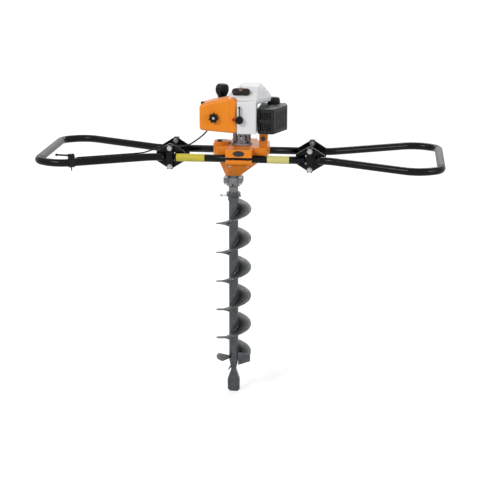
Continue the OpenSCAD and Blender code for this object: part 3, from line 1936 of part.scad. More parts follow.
module cutter_blades() {
  color("#4b4f53") {
    rotate([0, 0, flight_bottom_turn])
      upright_plate(-blade_t, 0)
        polygon([
          [blade_inner_r, flight_bottom_z + flight_t / 2], [flight_d / 2, flight_bottom_z + flight_t / 2],
          [flight_d / 2, flight_bottom_z - blade_len], [blade_inner_r, flight_bottom_z - blade_len - blade_slant]
        ]);
    difference() {
      rotate([0, 0, flight_bottom_turn + tooth_turn])
        upright_plate(-tooth_t / 2, tooth_t / 2)
          polygon([
            [tooth_root_r, waist_h + tooth_top], [tooth_root_r, waist_h + tooth_low],
            [tooth_reach, waist_h - tooth_tip]
          ]);
      point_cone(seat);
    }
  }
}

plug_h = 22;
shoulder_h = 48;
point_round = 8;
module centre_point() {
  color("#3f4347") {
    rod(shank_d, tube_bottom_z - 1, tube_bottom_z + plug_h);
    point_cone(0);
    rod(waist_d, shoulder_h, waist_h);
    intersection() {
      upright_plate(-point_t, point_t)
        polygon([
          [-point_w / 2 + point_round, 0], [point_w / 2 - point_round, 0], [point_w / 2, point_round],
          [point_w / 2, shoulder_h], [waist_d / 2, waist_h], [-waist_d / 2, waist_h],
          [-point_w / 2, shoulder_h], [-point_w / 2, point_round]
        ]);
      cross_plate(-point_w, point_w)
        polygon([
          [-2, 0], [2, 0], [point_t / 2, shoulder_h - point_round], [waist_d / 2, waist_h],
          [-waist_d / 2, waist_h], [-point_t / 2, shoulder_h - point_round]
        ]);
    }
  }
}

frame_tubes();
marker_bands();
frame_hinge_plates();
hinge_bolts();
hinge_nuts();
clamp_blocks();
plate_screws();
left_handle_tube();
right_handle_tube();
left_handle_plates();
right_handle_plates();
left_grip();
right_grip();
throttle_clamp();
throttle_lever();
handle_cable();
engine_cable();
upper_gear_case();
lower_gear_case();
case_bolts();
shaft_bearings();
spindle_seal();
spindle();
output_gear();
layshaft();
layshaft_gear();
clutch_drum();
clutch_shoes();
clutch_housing();
lower_crankcase();
upper_crankcase();
crankshaft();
flywheel();
cylinder_body();  // cylinder
piston();
spark_plug();
ignition_coil();
cylinder_shroud();
starter_cover();
starter_pulley();
starter_grip();
carburettor();
intake_manifold();
filter_base();
filter_element();
filter_cover();
filter_knob();
choke_lever();
stop_button();
fuel_tank();
fuel_cap();
muffler();
muffler_guard();
adapter();
flange_bolts();
drill_tube();
flight();
cutter_blades();
centre_point();
lock_pin();
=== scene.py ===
import math

import bmesh
import bpy
from mathutils import Matrix, Vector


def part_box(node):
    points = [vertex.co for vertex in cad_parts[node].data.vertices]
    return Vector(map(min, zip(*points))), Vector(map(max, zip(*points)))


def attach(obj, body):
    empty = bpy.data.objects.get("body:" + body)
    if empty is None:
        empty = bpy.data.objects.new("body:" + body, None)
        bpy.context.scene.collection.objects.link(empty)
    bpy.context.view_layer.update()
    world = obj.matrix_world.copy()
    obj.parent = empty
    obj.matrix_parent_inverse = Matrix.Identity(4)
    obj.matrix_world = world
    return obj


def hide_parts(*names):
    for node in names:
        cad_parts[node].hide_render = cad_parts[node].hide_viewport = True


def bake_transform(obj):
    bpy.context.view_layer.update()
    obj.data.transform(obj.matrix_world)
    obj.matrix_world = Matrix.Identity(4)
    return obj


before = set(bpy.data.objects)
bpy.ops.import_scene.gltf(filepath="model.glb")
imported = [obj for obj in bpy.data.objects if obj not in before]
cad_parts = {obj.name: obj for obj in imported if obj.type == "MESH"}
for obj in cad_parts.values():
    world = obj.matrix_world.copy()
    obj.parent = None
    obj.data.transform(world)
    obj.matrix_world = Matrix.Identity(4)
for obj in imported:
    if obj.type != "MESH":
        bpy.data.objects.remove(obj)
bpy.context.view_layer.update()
scene = bpy.context.scene


# Camera: a long lens at standing height, a few degrees to the right of straight ahead,
# so that both handles reach across the picture.
view_turn = math.radians(6.52)
view_rise = math.radians(15.90)
view_distance = 4.392
view_aim = Vector((0.0219, 0.0, 0.5521))
view_back = Vector((
    math.sin(view_turn) * math.cos(view_rise),
    -math.cos(view_turn) * math.cos(view_rise),
    math.sin(view_rise),
))
camera_data = bpy.data.cameras.new("photo_camera")
camera_data.sensor_width = 36.0
camera_data.lens = 96.9
camera = bpy.data.objects.new("photo_camera", camera_data)
camera.location = view_aim + view_back * view_distance
camera.rotation_euler = view_back.to_track_quat("Z", "Y").to_euler()
scene.collection.objects.link(camera)
scene.camera = camera
scene.view_settings.view_transform = "Standard"


# Studio: a white seamless floor, one large soft box to the front left, a weaker one to the right
# and a strip behind, with an even white surround.
def step(tree, kind, feeds=None, **settings):
    """Adds one node, sets its settings, and fills its sockets with values or with other nodes' outputs."""
    made = tree.nodes.new(kind)
    for key, value in settings.items():
        setattr(made, key, value)
    for key, value in (feeds or {}).items():
        if isinstance(value, bpy.types.NodeSocket):
            tree.links.new(value, made.inputs[key])
        else:
            made.inputs[key].default_value = value
    return made


def worked_out(tree, operation, *values):
    """One sum on numbers or on other nodes' outputs."""
    return step(tree, "ShaderNodeMath", dict(enumerate(values)), operation=operation).outputs[0]


def ranged(tree, value, low, high, to_low=0.0, to_high=1.0):
    """A value that runs from low to high, spread over another range and held at its ends."""
    return step(tree, "ShaderNodeMapRange", {
        "Value": value, "From Min": low, "From Max": high, "To Min": to_low, "To Max": to_high}).outputs[0]


def seen_rays(tree):
    """1 for rays that the eye, a mirror or glass would follow, 0 for light that falls on the object."""
    rays = step(tree, "ShaderNodeLightPath").outputs
    direct = worked_out(tree, "MAXIMUM", rays["Is Camera Ray"], rays["Is Glossy Ray"])
    return worked_out(tree, "MAXIMUM", direct, rays["Is Transmission Ray"])


white = (1, 1, 1, 1)
surround_light = 0.42
world = bpy.data.worlds.new("studio_surround")
scene.world = world
world.use_nodes = True
world.node_tree.nodes.clear()
falling = step(world.node_tree, "ShaderNodeBackground", {"Color": white, "Strength": surround_light})
looked_at = step(world.node_tree, "ShaderNodeBackground", {"Color": white, "Strength": 1.0})
surround = step(world.node_tree, "ShaderNodeMixShader",
                {0: seen_rays(world.node_tree), 1: falling.outputs[0], 2: looked_at.outputs[0]})
step(world.node_tree, "ShaderNodeOutputWorld", {0: surround.outputs[0]})


def soft_box(name, place, target, size, power):
    """A rectangular lamp that faces a point."""
    lamp = bpy.data.lights.new(name, "AREA")
    lamp.shape = "RECTANGLE"
    lamp.size, lamp.size_y = size
    lamp.energy = power
    holder = bpy.data.objects.new(name, lamp)
    holder.location = place
    holder.rotation_euler = (Vector(place) - Vector(target)).to_track_quat("Z", "Y").to_euler()
    scene.collection.objects.link(holder)


soft_box("key_box", (-1.9, -2.6, 3.0), (0.0, 0.0, 0.75), (1.3, 0.8), 66.0)
soft_box("side_box", (2.6, -1.6, 1.7), (0.0, 0.0, 0.8), (0.8, 1.0), 22.0)
soft_box("back_strip", (0.4, 2.4, 2.6), (0.0, 0.0, 0.8), (1.8, 0.3), 26.0)

floor_half = 40.0
paper_grey = (0.72, 0.72, 0.72, 1)
near_reach, far_reach, near_lift, far_lift = 0.6, 4.0, 0.5, 0.75
floor_mesh = bpy.data.meshes.new("studio_floor")
floor_mesh.from_pydata(
    [(-floor_half, -floor_half, 0), (floor_half, -floor_half, 0),
     (floor_half, floor_half, 0), (-floor_half, floor_half, 0)], [], [(0, 1, 2, 3)])
floor_paper = bpy.data.materials.new("studio_paper")
floor_paper.use_nodes = True
paper_tree = floor_paper.node_tree
paper_tree.nodes.clear()
paper_place = step(paper_tree, "ShaderNodeTexCoord").outputs["Object"]
paper_reach = step(paper_tree, "ShaderNodeVectorMath", {0: paper_place}, operation="LENGTH").outputs["Value"]
paper_lift = ranged(paper_tree, paper_reach, near_reach, far_reach, near_lift, far_lift)
paper_shine = worked_out(paper_tree, "MULTIPLY", paper_lift, seen_rays(paper_tree))
paper_matt = step(paper_tree, "ShaderNodeBsdfDiffuse", {"Color": paper_grey})
paper_glow = step(paper_tree, "ShaderNodeEmission", {"Color": white, "Strength": paper_shine})
paper = step(paper_tree, "ShaderNodeAddShader", {0: paper_matt.outputs[0], 1: paper_glow.outputs[0]})
step(paper_tree, "ShaderNodeOutputMaterial", {0: paper.outputs[0]})
floor_mesh.materials.append(floor_paper)
floor = bpy.data.objects.new("studio_floor", floor_mesh)
scene.collection.objects.link(floor)


# Throttle cable: a steel wire in a black plastic sheath, 5 mm across. It lies along the left handle,
# crosses the handle's fold at the hinge and rises freely to the carburettor.
cable_diameter = 0.005
cable_route = [
    (-0.494, -0.1869, 0.8652), (-0.450, -0.1655, 0.8652), (-0.405, -0.1436, 0.8652),
    (-0.360, -0.1218, 0.8652), (-0.320, -0.1023, 0.8652), (-0.292, -0.0884, 0.8658),
    (-0.277, -0.075, 0.868), (-0.264, -0.059, 0.8705), (-0.250, -0.046, 0.8735),
    (-0.233, -0.037, 0.878), (-0.217, -0.034, 0.8804), (-0.199, -0.034, 0.8806),
    (-0.182, -0.035, 0.8807), (-0.160, -0.037, 0.8815), (-0.142, -0.036, 0.887),
    (-0.122, -0.031, 0.899), (-0.102, -0.025, 0.914), (-0.088, -0.022, 0.928),
    (-0.077, -0.025, 0.945), (-0.069, -0.030, 0.962), (-0.065, -0.033, 0.976)]
cable_steps = 10


def smooth_line(points, steps):
    """A dense line through the points, bent as evenly as a stiff cable bends."""
    line = []
    for i in range(len(points) - 1):
        near = (points[max(i - 1, 0)], points[i], points[i + 1], points[min(i + 2, len(points) - 1)])
        for k in range(steps):
            t = k / steps
            line.append(Vector([
                0.5 * (2 * b + (c - a) * t + (2 * a - 5 * b + 4 * c - d) * t ** 2
                       + (3 * b - a - 3 * c + d) * t ** 3)
                for a, b, c, d in zip(*near)]))
    return line + [Vector(points[-1])]


def path_mesh(name, runs, bends=None):
    """Open lines of points as a mesh of edges; bends gives each point's bend radius."""
    points = [p for run in runs for p in run]
    edges, start = [], 0
    for run in runs:
        edges += [(start + i, start + i + 1) for i in range(len(run) - 1)]
        start += len(run)
    mesh = bpy.data.meshes.new(name)
    mesh.from_pydata(points, edges, [])
    if bends:
        mesh.attributes.new("bend", "FLOAT", "POINT").data.foreach_set("value", bends)
    return mesh


def node_tree(name, sizes, template=False):
    """A Geometry Nodes tree with named inputs for its sizes, its material and any template."""
    tree = bpy.data.node_groups.new(name, "GeometryNodeTree")
    tree.interface.new_socket("Geometry", in_out="INPUT", socket_type="NodeSocketGeometry")
    for label, value in sizes.items():
        kind = "NodeSocketInt" if isinstance(value, int) else "NodeSocketFloat"
        tree.interface.new_socket(label, in_out="INPUT", socket_type=kind).default_value = value
    if template:
        tree.interface.new_socket("Template", in_out="INPUT", socket_type="NodeSocketObject")
    tree.interface.new_socket("Material", in_out="INPUT", socket_type="NodeSocketMaterial")
    tree.interface.new_socket("Geometry", in_out="OUTPUT", socket_type="NodeSocketGeometry")
    return tree, step(tree, "NodeGroupInput").outputs


def close_tree(tree, given, geometry):
    """Ends a tree: the copies become one mesh, and the mesh gets its material."""
    realised = step(tree, "GeometryNodeRealizeInstances", {0: geometry})
    coated = step(tree, "GeometryNodeSetMaterial",
                  {"Geometry": realised.outputs[0], "Material": given["Material"]})
    step(tree, "NodeGroupOutput", {0: coated.outputs[0]})


def settled(piece):
    """Turns a piece with live modifiers into a plain mesh."""
    bpy.context.view_layer.update()
    seen = piece.evaluated_get(bpy.context.evaluated_depsgraph_get())
    mesh = bpy.data.meshes.new_from_object(seen)
    piece.modifiers.clear()
    piece.data = mesh
    mesh.name = piece.name
    return piece


def grown(name, mesh, tree, material, template=None, finishing=(), **sizes):
    """Runs a tree, and any modifiers that finish its result, on a mesh, and keeps a plain piece."""
    piece = bpy.data.objects.new(name, mesh)
    scene.collection.objects.link(piece)
    modifier = piece.modifiers.new("rule", "NODES")
    modifier.node_group = tree
    for socket in tree.interface.items_tree:
        if socket.item_type != "SOCKET" or socket.in_out != "INPUT":
            continue
        label = socket.name.lower().replace(" ", "_")
        if label in sizes:
            modifier[socket.identifier] = sizes[label]
        elif label == "material":
            modifier[socket.identifier] = material
        elif label == "template" and template:
            modifier[socket.identifier] = template
    for kind, settings in finishing:
        extra = piece.modifiers.new(kind.lower(), kind)
        for key, value in settings.items():
            setattr(extra, key, value)
    return settled(piece)


def mixed(tree, share, base, over):
    """One colour laid over another, by a share from 0 to 1."""
    return step(tree, "ShaderNodeMix", {0: share, 6: base, 7: over}, data_type="RGBA").outputs[2]


def noise(tree, place, size, detail, **settings):
    """Cloudy noise with clouds of a size."""
    feeds = {"Vector": place, "Scale": 1 / size, "Detail": detail, **settings}
    return step(tree, "ShaderNodeTexNoise", feeds).outputs[0]


cloud_spread, edge_patch_spread, smear_spread = (0.35, 0.65), (0.5, 0.62), (0.3, 0.7)
edge_patches_per_cloud, smears_per_cloud = 5, 2.7


def finish(name, colour, tint, mottle, rough, grain, metal=0.0, coat=0.0, gloss=0.5, edge_wear_and_highlight=None,
           painted_shade=None):
    """A surface with cloudy colour, uneven roughness and a fine relief. mottle is the clouds' size, rough
    the least and most roughness, grain the relief's size and height, in metres. The edge colour is laid on
    edges that a mesh marks as broken: wear on some finishes, a painted highlight on others. The shade colour
    is painted shade round the upright axis, with the distances at which it's full and gone."""
    material = bpy.data.materials.new(name)
    material.use_nodes = True
    tree = material.node_tree
    tree.nodes.clear()
    place = step(tree, "ShaderNodeTexCoord").outputs["Object"]
    clouds = ranged(tree, noise(tree, place, mottle, 5.0, Roughness=0.6), *cloud_spread)
    shade = mixed(tree, clouds, (*colour, 1), (*tint, 1))
    # Painted shade: a darker colour laid round the upright axis, full near it and gone further out.
    if painted_shade:
        shade_colour, full_at, gone_at = painted_shade
        flat = step(tree, "ShaderNodeVectorMath", {0: place, 1: (1, 1, 0)}, operation="MULTIPLY").outputs[0]
        reach = step(tree, "ShaderNodeVectorMath", {0: flat}, operation="LENGTH").outputs["Value"]
        shade = mixed(tree, ranged(tree, reach, full_at, gone_at, 1.0, 0.0), shade, (*shade_colour, 1))
    # Edges that the mesh marks take a patchy colour: wear on some finishes, a painted highlight on others.
    if edge_wear_and_highlight:
        edge = step(tree, "ShaderNodeAttribute", attribute_name="broken_edge").outputs["Fac"]
        edge_patches = ranged(tree, noise(tree, place, mottle / edge_patches_per_cloud, 3.0, Roughness=0.7), *edge_patch_spread)
        shade = mixed(tree, worked_out(tree, "MULTIPLY", edge_patches, edge), shade, (*edge_wear_and_highlight, 1))
    dull = ranged(tree, noise(tree, place, mottle / smears_per_cloud, 4.0), *smear_spread, *rough)
    relief_size, relief_height = grain
    relief = noise(tree, place, relief_size, 3.0)
    bump = step(tree, "ShaderNodeBump", {"Strength": 1.0, "Distance": relief_height, "Height": relief})
    skin = step(tree, "ShaderNodeBsdfPrincipled", {
        "Base Color": shade, "Roughness": dull, "Normal": bump.outputs[0], "Metallic": metal,
        "Coat Weight": coat, "Coat Roughness": 0.12, "Specular IOR Level": gloss})
    step(tree, "ShaderNodeOutputMaterial", {0: skin.outputs[0]})
    return material


bend_steps = 14


def swept_tree(name, bends, caps):
    """A round rod along a path, with rounded bends where the path's points give a radius."""
    tree, given = node_tree(name, {"Radius": 0.01, "Sides": 24})
    line = step(tree, "GeometryNodeMeshToCurve", {0: given["Geometry"]}).outputs[0]
    if bends:
        bend = step(tree, "GeometryNodeInputNamedAttribute", {"Name": "bend"},
                    data_type="FLOAT").outputs[0]
        line = step(tree, "GeometryNodeFilletCurve",
                    {"Curve": line, "Count": bend_steps, "Radius": bend}, mode="POLY").outputs[0]
    ring = step(tree, "GeometryNodeCurvePrimitiveCircle",
                {"Resolution": given["Sides"], "Radius": given["Radius"]}, mode="RADIUS").outputs[0]
    rod = step(tree, "GeometryNodeCurveToMesh",
               {"Curve": line, "Profile Curve": ring, "Fill Caps": caps}).outputs[0]
    close_tree(tree, given, step(tree, "GeometryNodeSetShadeSmooth", {"Geometry": rod}).outputs[0])
    return tree


cable_sheath = finish(
    "cable_sheath", colour=(0.012, 0.012, 0.013), tint=(0.02, 0.02, 0.022),
    mottle=0.02, rough=(0.36, 0.52), grain=(0.0011, 0.00003), gloss=0.15)
cable_line = smooth_line(cable_route, cable_steps)
cord_rule = swept_tree("cord_rule", bends=False, caps=True)
cable = grown("throttle_cable", path_mesh("throttle_cable", [cable_line]), cord_rule, cable_sheath,
              radius=cable_diameter / 2, sides=16)
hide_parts("handle_cable", "engine_cable")
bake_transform(cable)


# Frame: two steel tubes, 25 mm across, in black gloss powder coat. They lie across the gear case,
# held in its jaws, and end at the hinges.
tube_radius = 0.0125
tube_wall = 0.0025
tube_sides = 48
no_bend = 0.0
middle_x = 0.02825
frame_z = 0.850
tube_y = 0.074
tube_ends = (-0.18525, 0.24175)
tube_rule = swept_tree("tube_rule", bends=True, caps=False)
hollow = [("SOLIDIFY", {"thickness": tube_wall, "offset": -1.0, "use_rim": True})]
# The coat's light colour on rounded edges is partly wear and partly a painted highlight.
black_paint = finish(
    "black_gloss_paint", colour=(0.003, 0.003, 0.0034), tint=(0.005, 0.005, 0.0055),
    mottle=0.05, rough=(0.13, 0.25), grain=(0.0024, 0.00002), gloss=0.14, edge_wear_and_highlight=(0.12, 0.12, 0.125))
tube_runs = [[(x, y, frame_z) for x in tube_ends] for y in (-tube_y, tube_y)]
tube_paths = path_mesh("frame_tubes_painted", tube_runs, [no_bend] * 4)
tubes = grown("frame_tubes_painted", tube_paths, tube_rule, black_paint, finishing=hollow,
              radius=tube_radius, sides=tube_sides)
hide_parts("frame_tubes")
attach(tubes, "frame")


# Handles: one bent tube each, of the frame's steel and coat, from hinge to hinge in a wide loop.
# The plan is the left one's, from the frame's middle, and the right one is its mirror image.
end_reach, end_half = 0.654, 0.170
handle_plan = [(-0.2485, -0.074), (-0.290, -0.074), (-0.578, -0.214), (-end_reach, -end_half),
               (-end_reach, end_half), (-0.578, 0.214), (-0.290, 0.074), (-0.2485, 0.074)]
handle_bends = [no_bend, 0.100, 0.090, 0.048, 0.048, 0.090, 0.100, no_bend]
handle_sides = ((1, "left_handle"), (-1, "right_handle"))


def on_side(side, plan):
    """A plan's points on the left side (1) or the right (-1), at the frame's height."""
    return [(middle_x + side * x, y, frame_z) for x, y in plan]


for side, body in handle_sides:
    label = body + "_tube_painted"
    bent = grown(label, path_mesh(label, [on_side(side, handle_plan)], handle_bends), tube_rule,
                 black_paint, finishing=hollow, radius=tube_radius, sides=tube_sides)
    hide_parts(body + "_tube")
    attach(bent, body)


# Grips: grey foam rubber sleeves with soft cut ends. They are pushed over the straight
# of each handle's end bar and hold by their own stretch.
def edge_rounding(width):
    """A modifier that rounds square edges to a width."""
    return "BEVEL", {"width": width, "segments": 2, "limit_method": "ANGLE", "angle_limit": math.radians(50)}


grip_radius = 0.0131
grip_half = 0.1422
grip_play, grip_end_round = 0.0001, 0.0006
grip_plan = [(-end_reach, -grip_half), (-end_reach, grip_half)]
foam_rubber = finish(
    "grip_foam_rubber", colour=(0.19, 0.193, 0.2), tint=(0.235, 0.238, 0.245),
    mottle=0.012, rough=(0.55, 0.72), grain=(0.0011, 0.00012), gloss=0.25)
sleeve_wall = grip_radius - tube_radius - grip_play
sleeve = [("SOLIDIFY", {"thickness": sleeve_wall, "offset": -1.0, "use_rim": True}),
          edge_rounding(grip_end_round)]
for side, body in handle_sides:
    label = body + "_grip_sleeve"
    grip = grown(label, path_mesh(label, [on_side(side, grip_plan)], [no_bend] * 2), tube_rule,
                 foam_rubber, finishing=sleeve, radius=grip_radius, sides=tube_sides)
    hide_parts(body.replace("_handle", "_grip"))
    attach(grip, body)


# Marker bands: plain yellow film wrapped once round the front tube, a darker one on the left
# and a pale one on the right.
flat_within = math.radians(0.5)
rounded_from = math.radians(30)
nearly_straight, room_needed = -0.9, 1.1


def joined_faces(node):
    """A copy of a CAD node with its loose triangles merged and joined into flat faces."""
    shape = bmesh.new()
    shape.from_mesh(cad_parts[node].data)
    bmesh.ops.remove_doubles(shape, verts=shape.verts, dist=2e-6)
    bmesh.ops.dissolve_limit(shape, angle_limit=flat_within, verts=shape.verts, edges=shape.edges)
    return shape


def roomy(edge, width):
    """Says whether the edges beside an edge are long enough to take its rounding."""
    for corner in edge.verts:
        along = (edge.other_vert(corner).co - corner.co).normalized()
        for beside in corner.link_edges:
            way = beside.other_vert(corner).co - corner.co
            turn = along.dot(way.normalized())
            room = way.length * math.sqrt(max(1 - turn * turn, 0.0))
            if beside is not edge and turn > nearly_straight and room < room_needed * width:
                return False
    return True


def placed(shape, name):
    """Makes a drawn shape a piece of the scene."""
    mesh = bpy.data.meshes.new(name)
    shape.to_mesh(mesh)
    shape.free()
    piece = bpy.data.objects.new(name, mesh)
    scene.collection.objects.link(piece)
    return piece


def shaded(piece, material, smooth=38.0):
    """Smooth shading up to an angle, with flat faces kept flat beside their rounded edges."""
    piece.data.materials.clear()
    piece.data.materials.append(material)
    piece.data.polygons.foreach_set("use_smooth", [True] * len(piece.data.polygons))
    piece.data.set_sharp_from_angle(angle=math.radians(smooth))
    even = piece.modifiers.new("even", "WEIGHTED_NORMAL")
    even.keep_sharp = True
    return settled(piece)


def dressed(node, name, material, width=0.0, rounds=2, pick=None):
    """A CAD node with its outer edges rounded to a width, or only the edges that pick chooses."""
    shape = joined_faces(node)
    mark = shape.faces.layers.float.new("broken_edge")
    if width:
        corners = [e for e in shape.edges if e.is_manifold and e.is_convex
                   and e.calc_face_angle(0) > rounded_from and (pick is None or pick(e)) and roomy(e, width)]
        rounded = bmesh.ops.bevel(shape, geom=corners, offset=width, offset_type="OFFSET", segments=rounds,
                                  profile=0.5, affect="EDGES", clamp_overlap=False)
        for face in rounded["faces"]:
            face[mark] = 1.0
    return shaded(placed(shape, name), material)


def on_body(piece, body, slot, *nodes):
    """Hands a finished piece over: it joins its body, and the CAD nodes it stands for are hidden. slot is not
    used.
    """
    if nodes:
        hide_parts(*nodes)
    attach(piece, body)


band_film = finish(
    "yellow_film", colour=(0.62, 0.53, 0.05), tint=(0.55, 0.46, 0.043),
    mottle=0.03, rough=(0.3, 0.45), grain=(0.006, 0.00006), gloss=0.35)
pale_film = finish(
    "pale_yellow_film", colour=(0.72, 0.66, 0.22), tint=(0.65, 0.59, 0.2),
    mottle=0.03, rough=(0.3, 0.45), grain=(0.006, 0.00006), gloss=0.35)
bands = dressed("marker_bands", "marker_bands_film", band_film)
bands.data.materials.append(pale_film)
for face in bands.data.polygons:
    face.material_index = 1 if face.center.x > middle_x else 0
on_body(bands, "frame", "yellow_band", "marker_bands")


# Hinges: six-sided steel plates on each tube's inner side and spacer blocks between the bolts, laser cut,
# edges broken, in the frame's black coat.
plate_edge, block_edge = 0.0007, 0.0008
for node, body, width in (("frame_hinge_plates", "frame", plate_edge), ("clamp_blocks", "frame", block_edge),
                          ("left_handle_plates", "left_handle", plate_edge),
                          ("right_handle_plates", "right_handle", plate_edge)):
    on_body(dressed(node, node + "_painted", black_paint, width), body, "black_paint", node)


# Hinge bolts, nuts and plate screws: zinc-plated steel, hexagon heads with a turned chamfer
# on loose washers. One set of each serves the whole frame.
def skinned(loops):
    """A closed skin through rings of points, one after the other, capped at both ends."""
    shape = bmesh.new()
    rows = [[shape.verts.new(p) for p in loop] for loop in loops]
    count = len(rows[0])
    for low, high in zip(rows, rows[1:]):
        for i in range(count):
            shape.faces.new((low[i], low[(i + 1) % count], high[(i + 1) % count], high[i]))
    shape.faces.new(rows[0][::-1])
    shape.faces.new(rows[-1])
    bmesh.ops.recalc_face_normals(shape, faces=shape.faces)
    return shape


def turned(rings, sides=24):
    """A turned and milled form, from rings of height, width across flats (None for round) and radius."""
    loops = []
    for height, flats, limit in rings:
        loop = []
        for i in range(sides):
            turn = 2 * math.pi * i / sides
            reach = limit
            if flats:
                reach = min(limit, flats / 2 / math.cos((turn + math.pi / 6) % (math.pi / 3) - math.pi / 6))
            loop.append((reach * math.cos(turn), reach * math.sin(turn), height))
        loops.append(loop)
    return skinned(loops)


def template(name, rings):
    """A turned form to be copied, kept out of the scene."""
    mesh = bpy.data.meshes.new(name)
    shape = turned(rings)
    shape.to_mesh(mesh)
    shape.free()
    return bpy.data.objects.new(name, mesh)


def set_tree():
    """The same fastener at each point, turned to that point's own direction."""
    tree, given = node_tree("fastener_rule", {}, template=True)
    out = step(tree, "GeometryNodeInputNamedAttribute", {"Name": "out"}, data_type="FLOAT_VECTOR").outputs[0]
    upright = step(tree, "FunctionNodeAlignRotationToVector", {"Vector": out}, axis="Z").outputs[0]
    one = step(tree, "GeometryNodeObjectInfo", {"Object": given["Template"]}, transform_space="ORIGINAL")
    copies = step(tree, "GeometryNodeInstanceOnPoints",
                  {"Points": given["Geometry"], "Instance": one.outputs["Geometry"], "Rotation": upright})
    close_tree(tree, given, copies.outputs[0])
    return tree


fastener_rule = set_tree()
fastener_smooth = 32.0


def fastener_set(name, pattern, places, material):
    """One piece with a copy of the pattern at each place, which is a point and an outward direction."""
    mesh = bpy.data.meshes.new(name)
    mesh.from_pydata([p for p, _ in places], [], [])
    flat = [value for _, way in places for value in way]
    mesh.attributes.new("out", "FLOAT_VECTOR", "POINT").data.foreach_set("vector", flat)
    return shaded(grown(name, mesh, fastener_rule, material, template=pattern), material, fastener_smooth)


zinc = finish(
    "zinc_plate", colour=(0.47, 0.48, 0.5), tint=(0.36, 0.37, 0.385),
    mottle=0.006, rough=(0.24, 0.42), grain=(0.0009, 0.00001), metal=1.0)
hinge_reach, hinge_rise = 0.231, 0.0306
bolt_seat, nut_seat, screw_seat = 0.005, 0.0228, 0.0178
screw_reach, screw_rises = 0.013, (0.010, -0.013)
flats, washer = 0.0128, 0.0086
washer_rings = [
    (0.0, None, washer - 0.0003), (0.0003, None, washer), (0.0013, None, washer),
    (0.0016, None, washer - 0.0003), (0.00161, None, 0.0064)]
bolt_pattern = template("hinge_bolt", [
    (-0.0378, None, 0.0033), (-0.0371, None, 0.004), (-0.0001, None, 0.004), *washer_rings,
    (0.0017, flats, 0.0069), (0.0019, flats, 0.0074), (0.0059, flats, 0.0074), (0.0066, flats, 0.0066),
    (0.0068, None, 0.0060), (0.00688, None, 0.0044)])
nut_pattern = template("hinge_nut", [
    *washer_rings, (0.0018, flats, 0.0069), (0.0021, flats, 0.0074), (0.0073, flats, 0.0074),
    (0.0079, flats, 0.0067), (0.008, None, 0.0055), (0.0078, None, 0.0046)])
screw_pattern = template("plate_screw", [
    (-0.006, None, 0.0022), (-0.0057, None, 0.0025), (-0.0001, None, 0.0025), (0.0, None, 0.0038),
    (0.0004, None, 0.004), (0.0018, None, 0.0037), (0.0026, None, 0.0028), (0.003, None, 0.0016),
    (0.0026, None, 0.0013)])
bolt_places, nut_places, screw_places = [], [], []
for side in (-1, 1):
    for x in (middle_x - hinge_reach, middle_x + hinge_reach):
        for z in (frame_z - hinge_rise, frame_z + hinge_rise):
            bolt_places.append(((x, side * (tube_y + bolt_seat), z), (0, side, 0)))
            nut_places.append(((x, side * (tube_y - nut_seat), z), (0, -side, 0)))
        inward = 1 if x < middle_x else -1
        for rise in screw_rises:
            screw_places.append(((x + inward * screw_reach, side * (tube_y - screw_seat), frame_z + rise),
                                 (0, side, 0)))
for name, pattern, places, node in (
        ("hinge_bolt_set", bolt_pattern, bolt_places, "hinge_bolts"),
        ("hinge_nut_set", nut_pattern, nut_places, "hinge_nuts"),
        ("plate_screw_set", screw_pattern, screw_places, "plate_screws")):
    on_body(fastener_set(name, pattern, places, zinc), "frame", "zinc", node)


# Throttle: a moulded clamp on the left handle tube with a lever on a pin between its cheeks, both black
# glass-filled nylon. A plated ferrule holds the cable's end against the clamp.
nylon = finish(
    "black_nylon", colour=(0.005, 0.005, 0.0055), tint=(0.009, 0.009, 0.0098),
    mottle=0.015, rough=(0.3, 0.45), grain=(0.0006, 0.00003), gloss=0.15)
clamp_edge, lever_edge = 0.0008, 0.0009
for node, body, width in (("throttle_clamp", "left_handle", clamp_edge),
                          ("throttle_lever", "throttle", lever_edge)):
    on_body(dressed(node, node + "_moulded", nylon, width), body, "black_plastic", node)


def facing(place, way):
    """Moves a form that stands on the origin to a place, with its top towards a direction."""
    return Matrix.Translation(place) @ way.to_track_quat("Z", "Y").to_matrix().to_4x4()


ferrule = turned([
    (-0.0035, None, 0.0031), (-0.0032, None, 0.0036), (0.003, None, 0.0036), (0.0034, None, 0.0033),
    (0.0044, None, 0.0028)])
ferrule.transform(facing(cable_line[0], cable_line[1] - cable_line[0]))
on_body(shaded(placed(ferrule, "cable_ferrule"), zinc), "left_handle", "zinc")


# Gear case: two aluminium castings, shot blasted and sprayed orange, bolted together round the frame tubes.
# The bolts are plated below and blackened above, and a plain dark oval plate sits on the front jaw.
orange_coat = finish(
    "orange_casting_coat", colour=(0.9, 0.265, 0.006), tint=(0.83, 0.23, 0.005),
    mottle=0.035, rough=(0.3, 0.46), grain=(0.0016, 0.00009), coat=0.06, gloss=0.35,
    edge_wear_and_highlight=(0.66, 0.36, 0.16))
case_edge = 0.0014
for node in ("upper_gear_case", "lower_gear_case"):
    on_body(dressed(node, node + "_cast", orange_coat, case_edge, rounds=3), "frame", "orange_casting", node)
bolt_edge = 0.0004
plated_below = frame_z - 0.016
case_bolts = dressed("case_bolts", "case_bolts_plated", zinc, bolt_edge)
black_steel = finish(
    "blackened_steel", colour=(0.02, 0.02, 0.021), tint=(0.03, 0.03, 0.032),
    mottle=0.006, rough=(0.35, 0.5), grain=(0.0008, 0.00001), metal=0.6)
case_bolts.data.materials.append(black_steel)
for face in case_bolts.data.polygons:
    face.material_index = 1 if face.center.z > plated_below else 0
on_body(case_bolts, "frame", "zinc", "case_bolts")
jaw_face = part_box("upper_gear_case")[0][1]
oval_middle = Vector((middle_x, jaw_face, 0.872))
oval_half_w, oval_half_h, oval_sides = 0.019, 0.0095, 48
